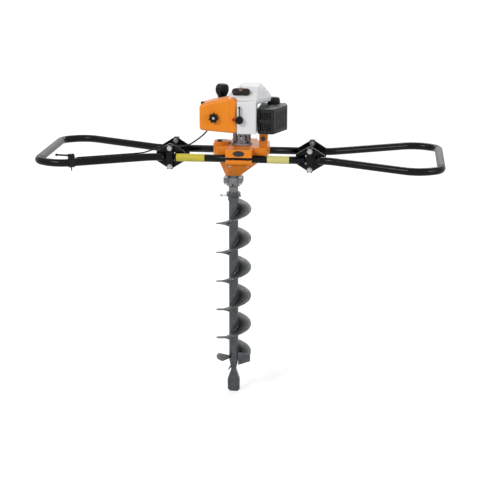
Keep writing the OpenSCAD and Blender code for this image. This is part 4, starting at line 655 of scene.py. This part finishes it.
oval_rings = [(-0.0006, 1.0), (0.0007, 1.0), (0.0011, 0.97), (0.0013, 0.92)]
oval_turns = [2 * math.pi * i / oval_sides for i in range(oval_sides)]
oval = skinned([[
    oval_middle + Vector((oval_half_w * share * math.cos(a), -lift, oval_half_h * share * math.sin(a)))
    for a in oval_turns] for lift, share in oval_rings])
oval_plate = finish(
    "dark_plate", colour=(0.02, 0.02, 0.022), tint=(0.03, 0.03, 0.033),
    mottle=0.01, rough=(0.3, 0.4), grain=(0.0006, 0.00001), gloss=0.3)
on_body(shaded(placed(oval, "plain_oval_plate"), oval_plate), "frame", "black_plastic")


# Drive inside the case: ground steel shafts and cut gears in ball bearings, with a rubber lip seal below.
# They keep their CAD shapes, because the case hides them.
ground_steel = finish(
    "ground_steel", colour=(0.44, 0.45, 0.46), tint=(0.36, 0.37, 0.38),
    mottle=0.01, rough=(0.2, 0.36), grain=(0.0008, 0.00001), metal=1.0)
seal_rubber = finish(
    "seal_rubber", colour=(0.015, 0.015, 0.016), tint=(0.022, 0.022, 0.023),
    mottle=0.01, rough=(0.5, 0.7), grain=(0.0005, 0.00003))


def coat(node, material):
    """Gives a CAD node that shows as it is its finish."""
    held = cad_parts[node].data.materials
    held.clear()
    held.append(material)


for node in ("shaft_bearings", "output_gear", "layshaft", "layshaft_gear", "clutch_drum", "crankshaft"):
    coat(node, ground_steel)
coat("spindle_seal", seal_rubber)


# Clutch: a ribbed aluminium housing with windows, bead blasted, with the lined shoes inside it.
# It stands on the gear case's deck and carries the engine.
bare_casting = finish(
    "bare_casting", colour=(0.5, 0.55, 0.62), tint=(0.41, 0.46, 0.53),
    mottle=0.02, rough=(0.34, 0.5), grain=(0.0012, 0.00006), metal=0.1)
lining = finish(
    "clutch_lining", colour=(0.09, 0.07, 0.055), tint=(0.13, 0.10, 0.08),
    mottle=0.008, rough=(0.7, 0.9), grain=(0.0007, 0.0001))
housing_edge = 0.0007
on_body(dressed("clutch_housing", "clutch_housing_cast", bare_casting, housing_edge), "frame", "casting",
        "clutch_housing")
coat("clutch_shoes", lining)


# Engine: a two-stroke block of aluminium castings, screwed together. Its crankcase shows between the covers
# and the clutch housing, and the rest keeps its CAD shapes under the covers.
dark_casting = finish(
    "dark_casting", colour=(0.06, 0.062, 0.066), tint=(0.09, 0.092, 0.096),
    mottle=0.02, rough=(0.42, 0.6), grain=(0.0012, 0.00006), metal=0.5)
crankcase_edge = 0.0008
for node in ("lower_crankcase", "upper_crankcase"):
    on_body(dressed(node, node + "_cast", bare_casting, crankcase_edge), "frame", "casting", node)
for node in ("cylinder", "flywheel", "carburettor", "intake_manifold"):
    coat(node, dark_casting)
coat("piston", bare_casting)
ceramic = finish(
    "plug_ceramic", colour=(0.78, 0.78, 0.76), tint=(0.7, 0.7, 0.68),
    mottle=0.01, rough=(0.15, 0.25), grain=(0.001, 0.00001))
coat("spark_plug", ceramic)
coat("ignition_coil", nylon)


# Cylinder shroud: the white moulded cover over the cylinder, open to the back and below.
# It is screwed to the crankcase, and its front edges have a generous mould radius.
white_plastic = finish(
    "white_plastic", colour=(0.81, 0.815, 0.825), tint=(0.77, 0.775, 0.79),
    mottle=0.05, rough=(0.3, 0.42), grain=(0.0009, 0.00002), gloss=0.4)
shroud_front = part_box("cylinder_shroud")[0][1]
shroud_radius, face_play = 0.004, 0.0001


def front_edge(edge):
    """Picks the edges round the front face."""
    return all(v.co.y < shroud_front + face_play for v in edge.verts)


shroud = dressed("cylinder_shroud", "cylinder_shroud_moulded", white_plastic, shroud_radius, rounds=4,
                 pick=front_edge)
on_body(shroud, "frame", "white_plastic", "cylinder_shroud")


# Starter: a white moulded cover like a low roof with a flat top, vents in its right slope, and a pull grip
# on its front slope. An eyelet under the grip opens to the pulley inside.
starter_low, starter_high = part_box("starter_cover")
starter_wall = 0.0025
foot_corners = [(-0.035, -0.076), (0.054, -0.076), (0.088, -0.022),
                (0.088, 0.014), (0.048, 0.074), (-0.035, 0.074)]
roof_corners = [(0.007, -0.0369), (0.0545, -0.0369), (0.0545, 0.0386), (0.007, 0.0386)]
foot_radius, roof_radius = 0.008, 0.009
skirt_height = 0.0081


def ball(middle, radius, rings=9, sides=28):
    """Points all over a ball."""
    points = []
    for i in range(rings):
        rise = math.pi * (i / (rings - 1) - 0.5)
        for k in range(sides):
            turn = 2 * math.pi * k / sides
            points.append(Vector(middle) + radius * Vector((
                math.cos(rise) * math.cos(turn), math.cos(rise) * math.sin(turn), math.sin(rise))))
    return points


def wrapped(points):
    """The skin stretched over a cloud of points."""
    shape = bmesh.new()
    for point in points:
        shape.verts.new(point)
    hull = bmesh.ops.convex_hull(shape, input=shape.verts)
    spare = {part for key in ("geom_interior", "geom_unused") for part in hull[key]
             if isinstance(part, bmesh.types.BMVert)}
    bmesh.ops.delete(shape, geom=list(spare), context="VERTS")
    bmesh.ops.remove_doubles(shape, verts=shape.verts, dist=1e-6)
    bmesh.ops.dissolve_limit(shape, angle_limit=flat_within, verts=shape.verts, edges=shape.edges)
    bmesh.ops.recalc_face_normals(shape, faces=shape.faces)
    return shape


def starter_form(inset, low):
    """The cover's form, drawn in by an inset, from a height up."""
    points = []
    for x, y in foot_corners:
        foot = Vector((middle_x + x, y, starter_low[2] + skirt_height))
        points += ball(foot, foot_radius - inset)
        points += [Vector((p.x, p.y, low)) for p in ball(foot, foot_radius - inset, rings=3)]
    for x, y in roof_corners:
        points += ball((middle_x + x, y, starter_high[2] - roof_radius), roof_radius - inset)
    return wrapped(points)


def brick(low, high):
    """A box between two corners."""
    loops = [[(low[0], low[1], z), (high[0], low[1], z), (high[0], high[1], z), (low[0], high[1], z)]
             for z in (low[2], high[2])]
    return skinned(loops)


def carved(piece, forms):
    """Cuts closed forms out of a piece."""
    cutters = [placed(form, "cutter") for form in forms]
    for cutter in cutters:
        cut = piece.modifiers.new("cut", "BOOLEAN")
        cut.operation, cut.solver, cut.object = "DIFFERENCE", "EXACT", cutter
    settled(piece)
    for cutter in cutters:
        bpy.data.objects.remove(cutter)
    return piece


slope_point = Vector((0.03325, -0.065, 1.0651))
slope_way = Vector((0.0, -0.6225, 0.7826))
slope_turn = facing(slope_point, slope_way)
eyelet_depth, eyelet_radius = 0.010, 0.0045
eyelet = turned([(-eyelet_depth, None, eyelet_radius), (eyelet_depth, None, eyelet_radius)])
eyelet.transform(slope_turn)
vent_x, vent_y, vent_z = (0.0783, 0.137), (-0.026, -0.022), (1.056, 1.073)
vent_count, vent_pitch = 5, 0.013
vents = [brick(*[(x, y + vent_pitch * i, z) for x, y, z in zip(vent_x, vent_y, vent_z)])
         for i in range(vent_count)]
cut_past = 0.002
cover_smooth = 30.0
starter_shell = carved(placed(starter_form(0.0, starter_low[2]), "starter_cover_moulded"),
                       [starter_form(starter_wall, starter_low[2] - cut_past), eyelet] + vents)
on_body(shaded(starter_shell, white_plastic, cover_smooth), "frame", "white_plastic", "starter_cover")
axle = turned([(1.0542, None, 0.0037), (1.0545, None, 0.004), (1.0634, None, 0.004), (1.0635, None, 0.006),
               (1.0832, None, 0.006)])
axle.transform(Matrix.Translation((middle_x, 0.0, 0.0)))
on_body(shaded(placed(axle, "starter_axle"), white_plastic), "frame", "white_plastic")
coat("starter_pulley", nylon)
grip_plastic = finish(
    "grip_plastic", colour=(0.016, 0.014, 0.013), tint=(0.026, 0.023, 0.021),
    mottle=0.012, rough=(0.3, 0.44), grain=(0.0007, 0.00003), gloss=0.2)
pull_half, pull_radius = 0.018, 0.0115
pull_rings = [(0.0004, 0.0036), (0.0009, 0.0015), (0.0024, 0.0004), (0.0046, 0.0), (0.0106, 0.0),
              (0.0129, 0.0006), (0.0144, 0.0021), (0.0152, 0.0046), (0.0153, 0.0070)]
pull_sides, pull_smooth = 40, 45.0


def stadium(half, radius, height, steps=16):
    """A long round outline at a height."""
    turns = [math.pi * k / steps - math.pi / 2 for k in range(steps + 1)]
    return ([(half + radius * math.cos(a), radius * math.sin(a), height) for a in turns]
            + [(-half - radius * math.cos(a), -radius * math.sin(a), height) for a in turns])


pull_grip = skinned([stadium(pull_half, pull_radius - inset, height) for height, inset in pull_rings])
pull_grip.transform(slope_turn)
on_body(shaded(placed(pull_grip, "starter_grip_moulded"), grip_plastic, pull_smooth), "starter_grip",
        "black_plastic", "starter_grip")
boss = turned([
    (0.0130, None, 0.0094), (0.0166, None, 0.0094), (0.0177, None, 0.0089), (0.0183, None, 0.0079),
    (0.0183, None, 0.0072), (0.0179, None, 0.0067), (0.0150, None, 0.0066)], pull_sides)
boss.transform(slope_turn)
on_body(shaded(placed(boss, "starter_grip_boss"), grip_plastic, pull_smooth), "starter_grip", "black_plastic")
plug_brown = finish(
    "grip_plug", colour=(0.16, 0.085, 0.05), tint=(0.2, 0.11, 0.068),
    mottle=0.006, rough=(0.4, 0.55), grain=(0.0006, 0.00003))
grip_plug = turned([
    (0.0142, None, 0.0060), (0.0145, None, 0.0064), (0.0178, None, 0.0064), (0.0187, None, 0.0056),
    (0.0190, None, 0.0042), (0.0184, None, 0.0030), (0.0180, None, 0.0012)], pull_sides)
grip_plug.transform(slope_turn)
on_body(shaded(placed(grip_plug, "starter_grip_plug"), plug_brown), "starter_grip", "black_plastic")


# Air filter: a black base with a foam element, under an orange moulded cover that a star knob holds
# on its stud. The choke lever and the red stop button stand beside it, and a small black latch sits
# on its left shoulder.
cover_low, cover_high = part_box("filter_cover")
left, right = cover_low[0], cover_high[0]
foot, top = cover_low[2], cover_high[2]
cover_outline = [
    (left, foot + 0.018), (left + 0.004, foot + 0.009), (left + 0.039, foot + 0.006), (right, foot),
    (right, top - 0.013), (right - 0.006, top - 0.003), (right - 0.028, top), (left + 0.045, top - 0.009),
    (left + 0.007, top - 0.020), (left, top - 0.028)]
cover_corner, cover_round, cover_wall = 0.011, 0.0095, 0.0025
cover_least_round = 0.001


def eased(outline, inset, radius, steps=6):
    """A convex outline, drawn in by an inset, with its corners rounded."""
    corners = [Vector(p) for p in outline]
    ways = [(corners[(i + 1) % len(corners)] - p).normalized() for i, p in enumerate(corners)]
    loop = []
    for i, corner in enumerate(corners):
        before, after = ways[i - 1], ways[i]
        inward = Vector((-before.y, before.x))
        turn = before.angle(after)
        middle = corner + (inward - before * math.tan(turn / 2)) * (inset + radius)
        for k in range(steps + 1):
            swing = turn * k / steps
            loop.append(middle + Vector((
                radius * (before.y * math.cos(swing) + before.x * math.sin(swing)),
                radius * (before.y * math.sin(swing) - before.x * math.cos(swing)))))
    return loop


def cover_ring(depth, inset):
    """The cover's outline at a depth, drawn in by an inset."""
    rounding = max(cover_corner - inset, cover_least_round)
    return [(p.x, depth, p.y) for p in eased(cover_outline, inset, rounding)]


quarter_turn = [math.radians(15 * k) for k in range(7)]


def cover_skin(inset):
    """The cover's rings from its open back to its rounded front, drawn in by an inset."""
    bend = cover_round - inset
    return [cover_ring(cover_high[1], inset)] + [
        cover_ring(cover_low[1] + inset + bend * (1 - math.sin(a)), inset + bend * (1 - math.cos(a)))
        for a in quarter_turn]


outside, inside = cover_skin(0.0), cover_skin(cover_wall)
cover_front = Vector((0.0, cover_low[1], 0.0))
to_the_front = Matrix.Rotation(math.radians(90), 4, "X")
stud_place, stop_place = Vector((-0.049, 0.0, 0.994)), Vector((0.0145, 0.0, 0.989))
stud_hole, stop_hole, hole_reach = 0.0043, 0.0052, (-0.01, 0.02)
holes = []
for place, radius in ((stud_place, stud_hole), (stop_place, stop_hole)):
    hole = turned([(height, None, radius) for height in hole_reach])
    hole.transform(Matrix.Translation(place + cover_front) @ to_the_front)
    holes.append(hole)
seam_x, seam_y, seam_foot, seam_top = (0.0014, 0.0026), (-0.001, 0.0007), 0.012, 0.010
seam = brick((seam_x[0], cover_low[1] + seam_y[0], foot + seam_foot),
             (seam_x[1], cover_low[1] + seam_y[1], top - seam_top))
starter_play, starter_under = 0.0004, 0.0045
orange_plastic = finish(
    "orange_plastic", colour=(0.92, 0.275, 0.008), tint=(0.86, 0.245, 0.006),
    mottle=0.05, rough=(0.28, 0.4), grain=(0.0008, 0.00002), gloss=0.35)
cover_shell = carved(placed(skinned(inside[::-1] + outside), "filter_cover_moulded"),
                     holes + [seam, starter_form(-starter_play, starter_low[2] - starter_under)])
on_body(shaded(cover_shell, orange_plastic, cover_smooth), "frame", "orange_plastic", "filter_cover")
coat("filter_base", nylon)
filter_foam = finish(
    "filter_foam", colour=(0.5, 0.46, 0.36), tint=(0.42, 0.38, 0.29),
    mottle=0.006, rough=(0.85, 0.95), grain=(0.0015, 0.0005))
coat("filter_element", filter_foam)
latch_x, latch_y, latch_z, latch_round = (0.0045, 0.0105), (-0.098, -0.084), (-0.026, -0.0175), 0.002
latch_corners = [(left + x, y, top + z) for x in latch_x for y in latch_y for z in latch_z]
latch = wrapped([p for corner in latch_corners for p in ball(corner, latch_round, rings=7, sides=16)])
on_body(shaded(placed(latch, "cover_latch"), nylon), "frame", "black_plastic")
knob_edge, choke_edge, button_edge = 0.0012, 0.0008, 0.0009
on_body(dressed("filter_knob", "filter_knob_moulded", nylon, knob_edge, rounds=3), "filter_knob",
        "black_plastic", "filter_knob")
pale_insert = finish(
    "knob_insert", colour=(0.62, 0.62, 0.6), tint=(0.54, 0.54, 0.52),
    mottle=0.006, rough=(0.3, 0.45), grain=(0.0006, 0.00002))
insert = turned([(0.0112, None, 0.0036), (0.0114, None, 0.0039), (0.0136, None, 0.0039),
                 (0.0141, None, 0.0034), (0.0142, None, 0.002)])
insert.transform(Matrix.Translation(stud_place + cover_front) @ to_the_front)
on_body(shaded(placed(insert, "knob_insert_disc"), pale_insert), "filter_knob", "zinc")
on_body(dressed("choke_lever", "choke_lever_moulded", nylon, choke_edge), "choke", "black_plastic",
        "choke_lever")
red_plastic = finish(
    "red_plastic", colour=(0.6, 0.012, 0.006), tint=(0.52, 0.01, 0.005),
    mottle=0.01, rough=(0.3, 0.42), grain=(0.0007, 0.00002))
on_body(dressed("stop_button", "stop_button_moulded", red_plastic, button_edge, rounds=3), "stop_button",
        "red_plastic", "stop_button")


# Fuel tank: a blow-moulded dark tank behind the filter. Its screw cap is a bulb with six soft lobes,
# hollow below where it goes over the neck.
tank_plastic = finish(
    "tank_plastic", colour=(0.012, 0.012, 0.013), tint=(0.018, 0.018, 0.02),
    mottle=0.04, rough=(0.36, 0.5), grain=(0.001, 0.00003), gloss=0.2)
tank_edge = 0.0008
on_body(dressed("fuel_tank", "fuel_tank_moulded", tank_plastic, tank_edge), "frame", "tank_plastic", "fuel_tank")
cap_low, cap_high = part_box("fuel_cap")
cap_middle = ((cap_low[0] + cap_high[0]) / 2, (cap_low[1] + cap_high[1]) / 2, cap_low[2])
cap_profile = [
    (0.0122, 0.0093, 0), (0.0, 0.0093, 0), (0.0, 0.0143, 0), (0.0006, 0.0149, 0), (0.004, 0.0154, 0),
    (0.0075, 0.0171, 0), (0.0115, 0.0194, 0.1), (0.0155, 0.0214, 0.4), (0.0195, 0.0227, 0.8),
    (0.0235, 0.0230, 1), (0.0290, 0.0230, 1), (0.0330, 0.0224, 1), (0.0370, 0.0210, 1),
    (0.0402, 0.0191, 0.9), (0.0426, 0.0164, 0.6), (0.0438, 0.0128, 0.2), (0.0440, 0.0080, 0)]
cap_sides, cap_lobes, lobe_depth = 96, 6, 0.0034
cap_smooth = 45.0
cap_loops = []
for height, radius, lobed in cap_profile:
    loop = []
    for i in range(cap_sides):
        turn = 2 * math.pi * i / cap_sides
        reach = radius - lobed * lobe_depth * (0.5 + 0.5 * math.cos(cap_lobes * turn)) ** 2
        loop.append((cap_middle[0] + reach * math.cos(turn), cap_middle[1] + reach * math.sin(turn),
                     cap_middle[2] + height))
    cap_loops.append(loop)
on_body(shaded(placed(skinned(cap_loops), "fuel_cap_moulded"), nylon, cap_smooth), "fuel_cap",
        "black_plastic", "fuel_cap")


# Muffler: a pressed steel box inside a black guard with slots on the faces that show,
# and a rounded hump over the tab at the guard's back.
hot_steel = finish(
    "hot_steel", colour=(0.012, 0.0115, 0.011), tint=(0.02, 0.019, 0.018),
    mottle=0.02, rough=(0.5, 0.7), grain=(0.001, 0.00003), metal=0.4, gloss=0.2)
coat("muffler", hot_steel)
# The guard's light colour on its rounded slat edges is a painted highlight.
guard_black = finish(
    "guard_black", colour=(0.008, 0.009, 0.0105), tint=(0.014, 0.0155, 0.018),
    mottle=0.02, rough=(0.28, 0.42), grain=(0.0009, 0.00004), gloss=0.22, edge_wear_and_highlight=(0.12, 0.125, 0.13))
guard_edge = 0.0009
on_body(dressed("muffler_guard", "muffler_guard_moulded", guard_black, guard_edge), "frame", "black_plastic",
        "muffler_guard")
hump_x, hump_y, hump_z = 0.132, 0.020, 1.0195
hump_half, hump_depth, hump_rise = 0.021, 0.012, 0.0222
hump_rows, hump_sides, hump_square, hump_smooth = 10, 48, 0.5, 50.0
hump_close = 0.48 * math.pi


def squared(value):
    """Bends a round outline towards a box with rounded corners."""
    return math.copysign(abs(value) ** hump_square, value)


hump_turns = [2 * math.pi * i / hump_sides for i in range(hump_sides)]
hump_loops = []
for k in range(hump_rows):
    lift = hump_close * k / (hump_rows - 1)
    hump_loops.append([(hump_x + hump_half * squared(math.cos(lift)) * squared(math.cos(a)),
                        hump_y + hump_depth * squared(math.cos(lift)) * squared(math.sin(a)),
                        hump_z + hump_rise * squared(math.sin(lift))) for a in hump_turns])
on_body(shaded(placed(skinned(hump_loops), "guard_hump"), guard_black, hump_smooth), "frame", "black_plastic")


# Coupling: the spindle's flange and the drill's adapter, both grey forged steel.
# Four plated bolts through their ears hold them together.
forged_grey = finish(
    "forged_grey", colour=(0.21, 0.215, 0.225), tint=(0.155, 0.16, 0.168),
    mottle=0.015, rough=(0.32, 0.48), grain=(0.0012, 0.00005), metal=0.55)
coupling_edge = 0.0007
for node in ("spindle", "adapter"):
    on_body(dressed(node, node + "_forged", forged_grey, coupling_edge), "drill", "steel", node)
on_body(dressed("flange_bolts", "flange_bolts_plated", zinc, bolt_edge), "drill", "zinc", "flange_bolts")


# Drill: a steel tube with a socket at its top, one helical flight welded round it, a flat wing, a cutter
# blade with a tooth, and a forged centre point, all in charcoal paint. The flight's colour is darkened
# beside the tube as painted shade, and a sprung pin locks the drill to the adapter.
drill_paint = finish(
    "drill_paint", colour=(0.086, 0.095, 0.102), tint=(0.058, 0.064, 0.07),
    mottle=0.02, rough=(0.24, 0.36), grain=(0.0011, 0.00004), metal=0.55, gloss=0.4,
    edge_wear_and_highlight=(0.3, 0.305, 0.31))
# Painted shade: the flight's colour darkens towards the tube, full at 20 mm out and gone at 58 mm.
flight_paint = finish(
    "flight_paint", colour=(0.088, 0.094, 0.098), tint=(0.064, 0.069, 0.073),
    mottle=0.03, rough=(0.36, 0.5), grain=(0.0011, 0.00004), metal=0.4, gloss=0.3,
    edge_wear_and_highlight=(0.3, 0.305, 0.31), painted_shade=((0.006, 0.0065, 0.0065), 0.02, 0.058))
for node, width in (("drill_tube", 0.0006), ("cutter_blades", 0.0004), ("centre_point", 0.0008)):
    on_body(dressed(node, node + "_painted", drill_paint, width), "drill", "drill_paint", node)
pin_edge = 0.0005
on_body(dressed("lock_pin", "lock_pin_plated", zinc, pin_edge), "lock_pin", "zinc", "lock_pin")

flight_inner, flight_outer, flight_thick = 0.01608, 0.060, 0.004
flight_pitch = 0.1025
flight_low, flight_high = 0.144, 0.688
flight_top_turn = 100.0
flight_low_turn = flight_top_turn - 360 * (flight_high - flight_low) / flight_pitch
main_turns = flight_top_turn - flight_low_turn
wing_turn, wing_sweep, wing_low, wing_rise = flight_low_turn + 168.0, 80.0, 0.129, 0.002
flight_rows, wing_rows = 500, 30
flight_edge, flight_smooth, rim_from = 0.0005, 40.0, 0.99


def flight_tree():
    """A strip that climbs round the drill tube: a flat grid, wound up, with its outer rim marked."""
    tree, given = node_tree("flight_rule", {
        "Inner": flight_inner, "Outer": flight_outer, "Start Turn": 0.0, "Sweep": 1.0, "Start Height": 0.0,
        "Rise": 0.0, "Columns": 5, "Rows": 400})
    sheet = step(tree, "GeometryNodeMeshGrid", {
        "Size X": 1.0, "Size Y": 1.0, "Vertices X": given["Columns"], "Vertices Y": given["Rows"]}).outputs[0]
    place = step(tree, "GeometryNodeInputPosition").outputs[0]
    spot = step(tree, "ShaderNodeSeparateXYZ", {0: place}).outputs
    across = worked_out(tree, "ADD", spot[0], 0.5)
    along = worked_out(tree, "ADD", spot[1], 0.5)
    radius = ranged(tree, across, 0.0, 1.0, given["Inner"], given["Outer"])
    turn = worked_out(tree, "MULTIPLY_ADD", along, given["Sweep"], given["Start Turn"])
    height = worked_out(tree, "MULTIPLY_ADD", along, given["Rise"], given["Start Height"])
    wound = step(tree, "ShaderNodeCombineXYZ", {
        0: worked_out(tree, "MULTIPLY", radius, worked_out(tree, "COSINE", turn)),
        1: worked_out(tree, "MULTIPLY", radius, worked_out(tree, "SINE", turn)),
        2: height}).outputs[0]
    rim = worked_out(tree, "GREATER_THAN", across, rim_from)
    sheet = step(tree, "GeometryNodeStoreNamedAttribute",
                 {"Geometry": sheet, "Name": "broken_edge", "Value": rim},
                 data_type="FLOAT", domain="POINT").outputs[0]
    strip = step(tree, "GeometryNodeSetPosition", {"Geometry": sheet, "Position": wound}).outputs[0]
    close_tree(tree, given, step(tree, "GeometryNodeSetShadeSmooth", {"Geometry": strip}).outputs[0])
    return tree


flight_rule = flight_tree()
plate = [("SOLIDIFY", {"thickness": flight_thick, "offset": 0.0, "use_rim": True}),
         edge_rounding(flight_edge)]
for name, start, sweep, low, rise, rows in (
        ("flight_wound", flight_low_turn, main_turns, flight_low, flight_high - flight_low, flight_rows),
        ("flight_wing", wing_turn, wing_sweep, wing_low, wing_rise, wing_rows)):
    strip = grown(name, bpy.data.meshes.new(name), flight_rule, flight_paint, finishing=plate,
                  start_turn=math.radians(start), sweep=math.radians(sweep), start_height=low,
                  rise=rise, rows=rows)
    on_body(shaded(strip, flight_paint, flight_smooth), "drill", "drill_paint", "flight")
weld_radius, weld_sides, weld_steps = 0.0022, 8, 400
weld_seat, weld_wobble, weld_beat = 1.03, 0.012, 2.3
weld_line = []
for i in range(weld_steps + 1):
    share = i / weld_steps
    turn = math.radians(flight_low_turn + share * main_turns)
    reach = flight_inner * weld_seat * (1 + weld_wobble * math.sin(i * weld_beat))
    weld_line.append((reach * math.cos(turn), reach * math.sin(turn),
                      flight_low + share * (flight_high - flight_low) + flight_thick / 2))
weld = grown("flight_weld", path_mesh("flight_weld", [weld_line]), cord_rule, drill_paint,
             radius=weld_radius, sides=weld_sides)
on_body(weld, "drill", "drill_paint")
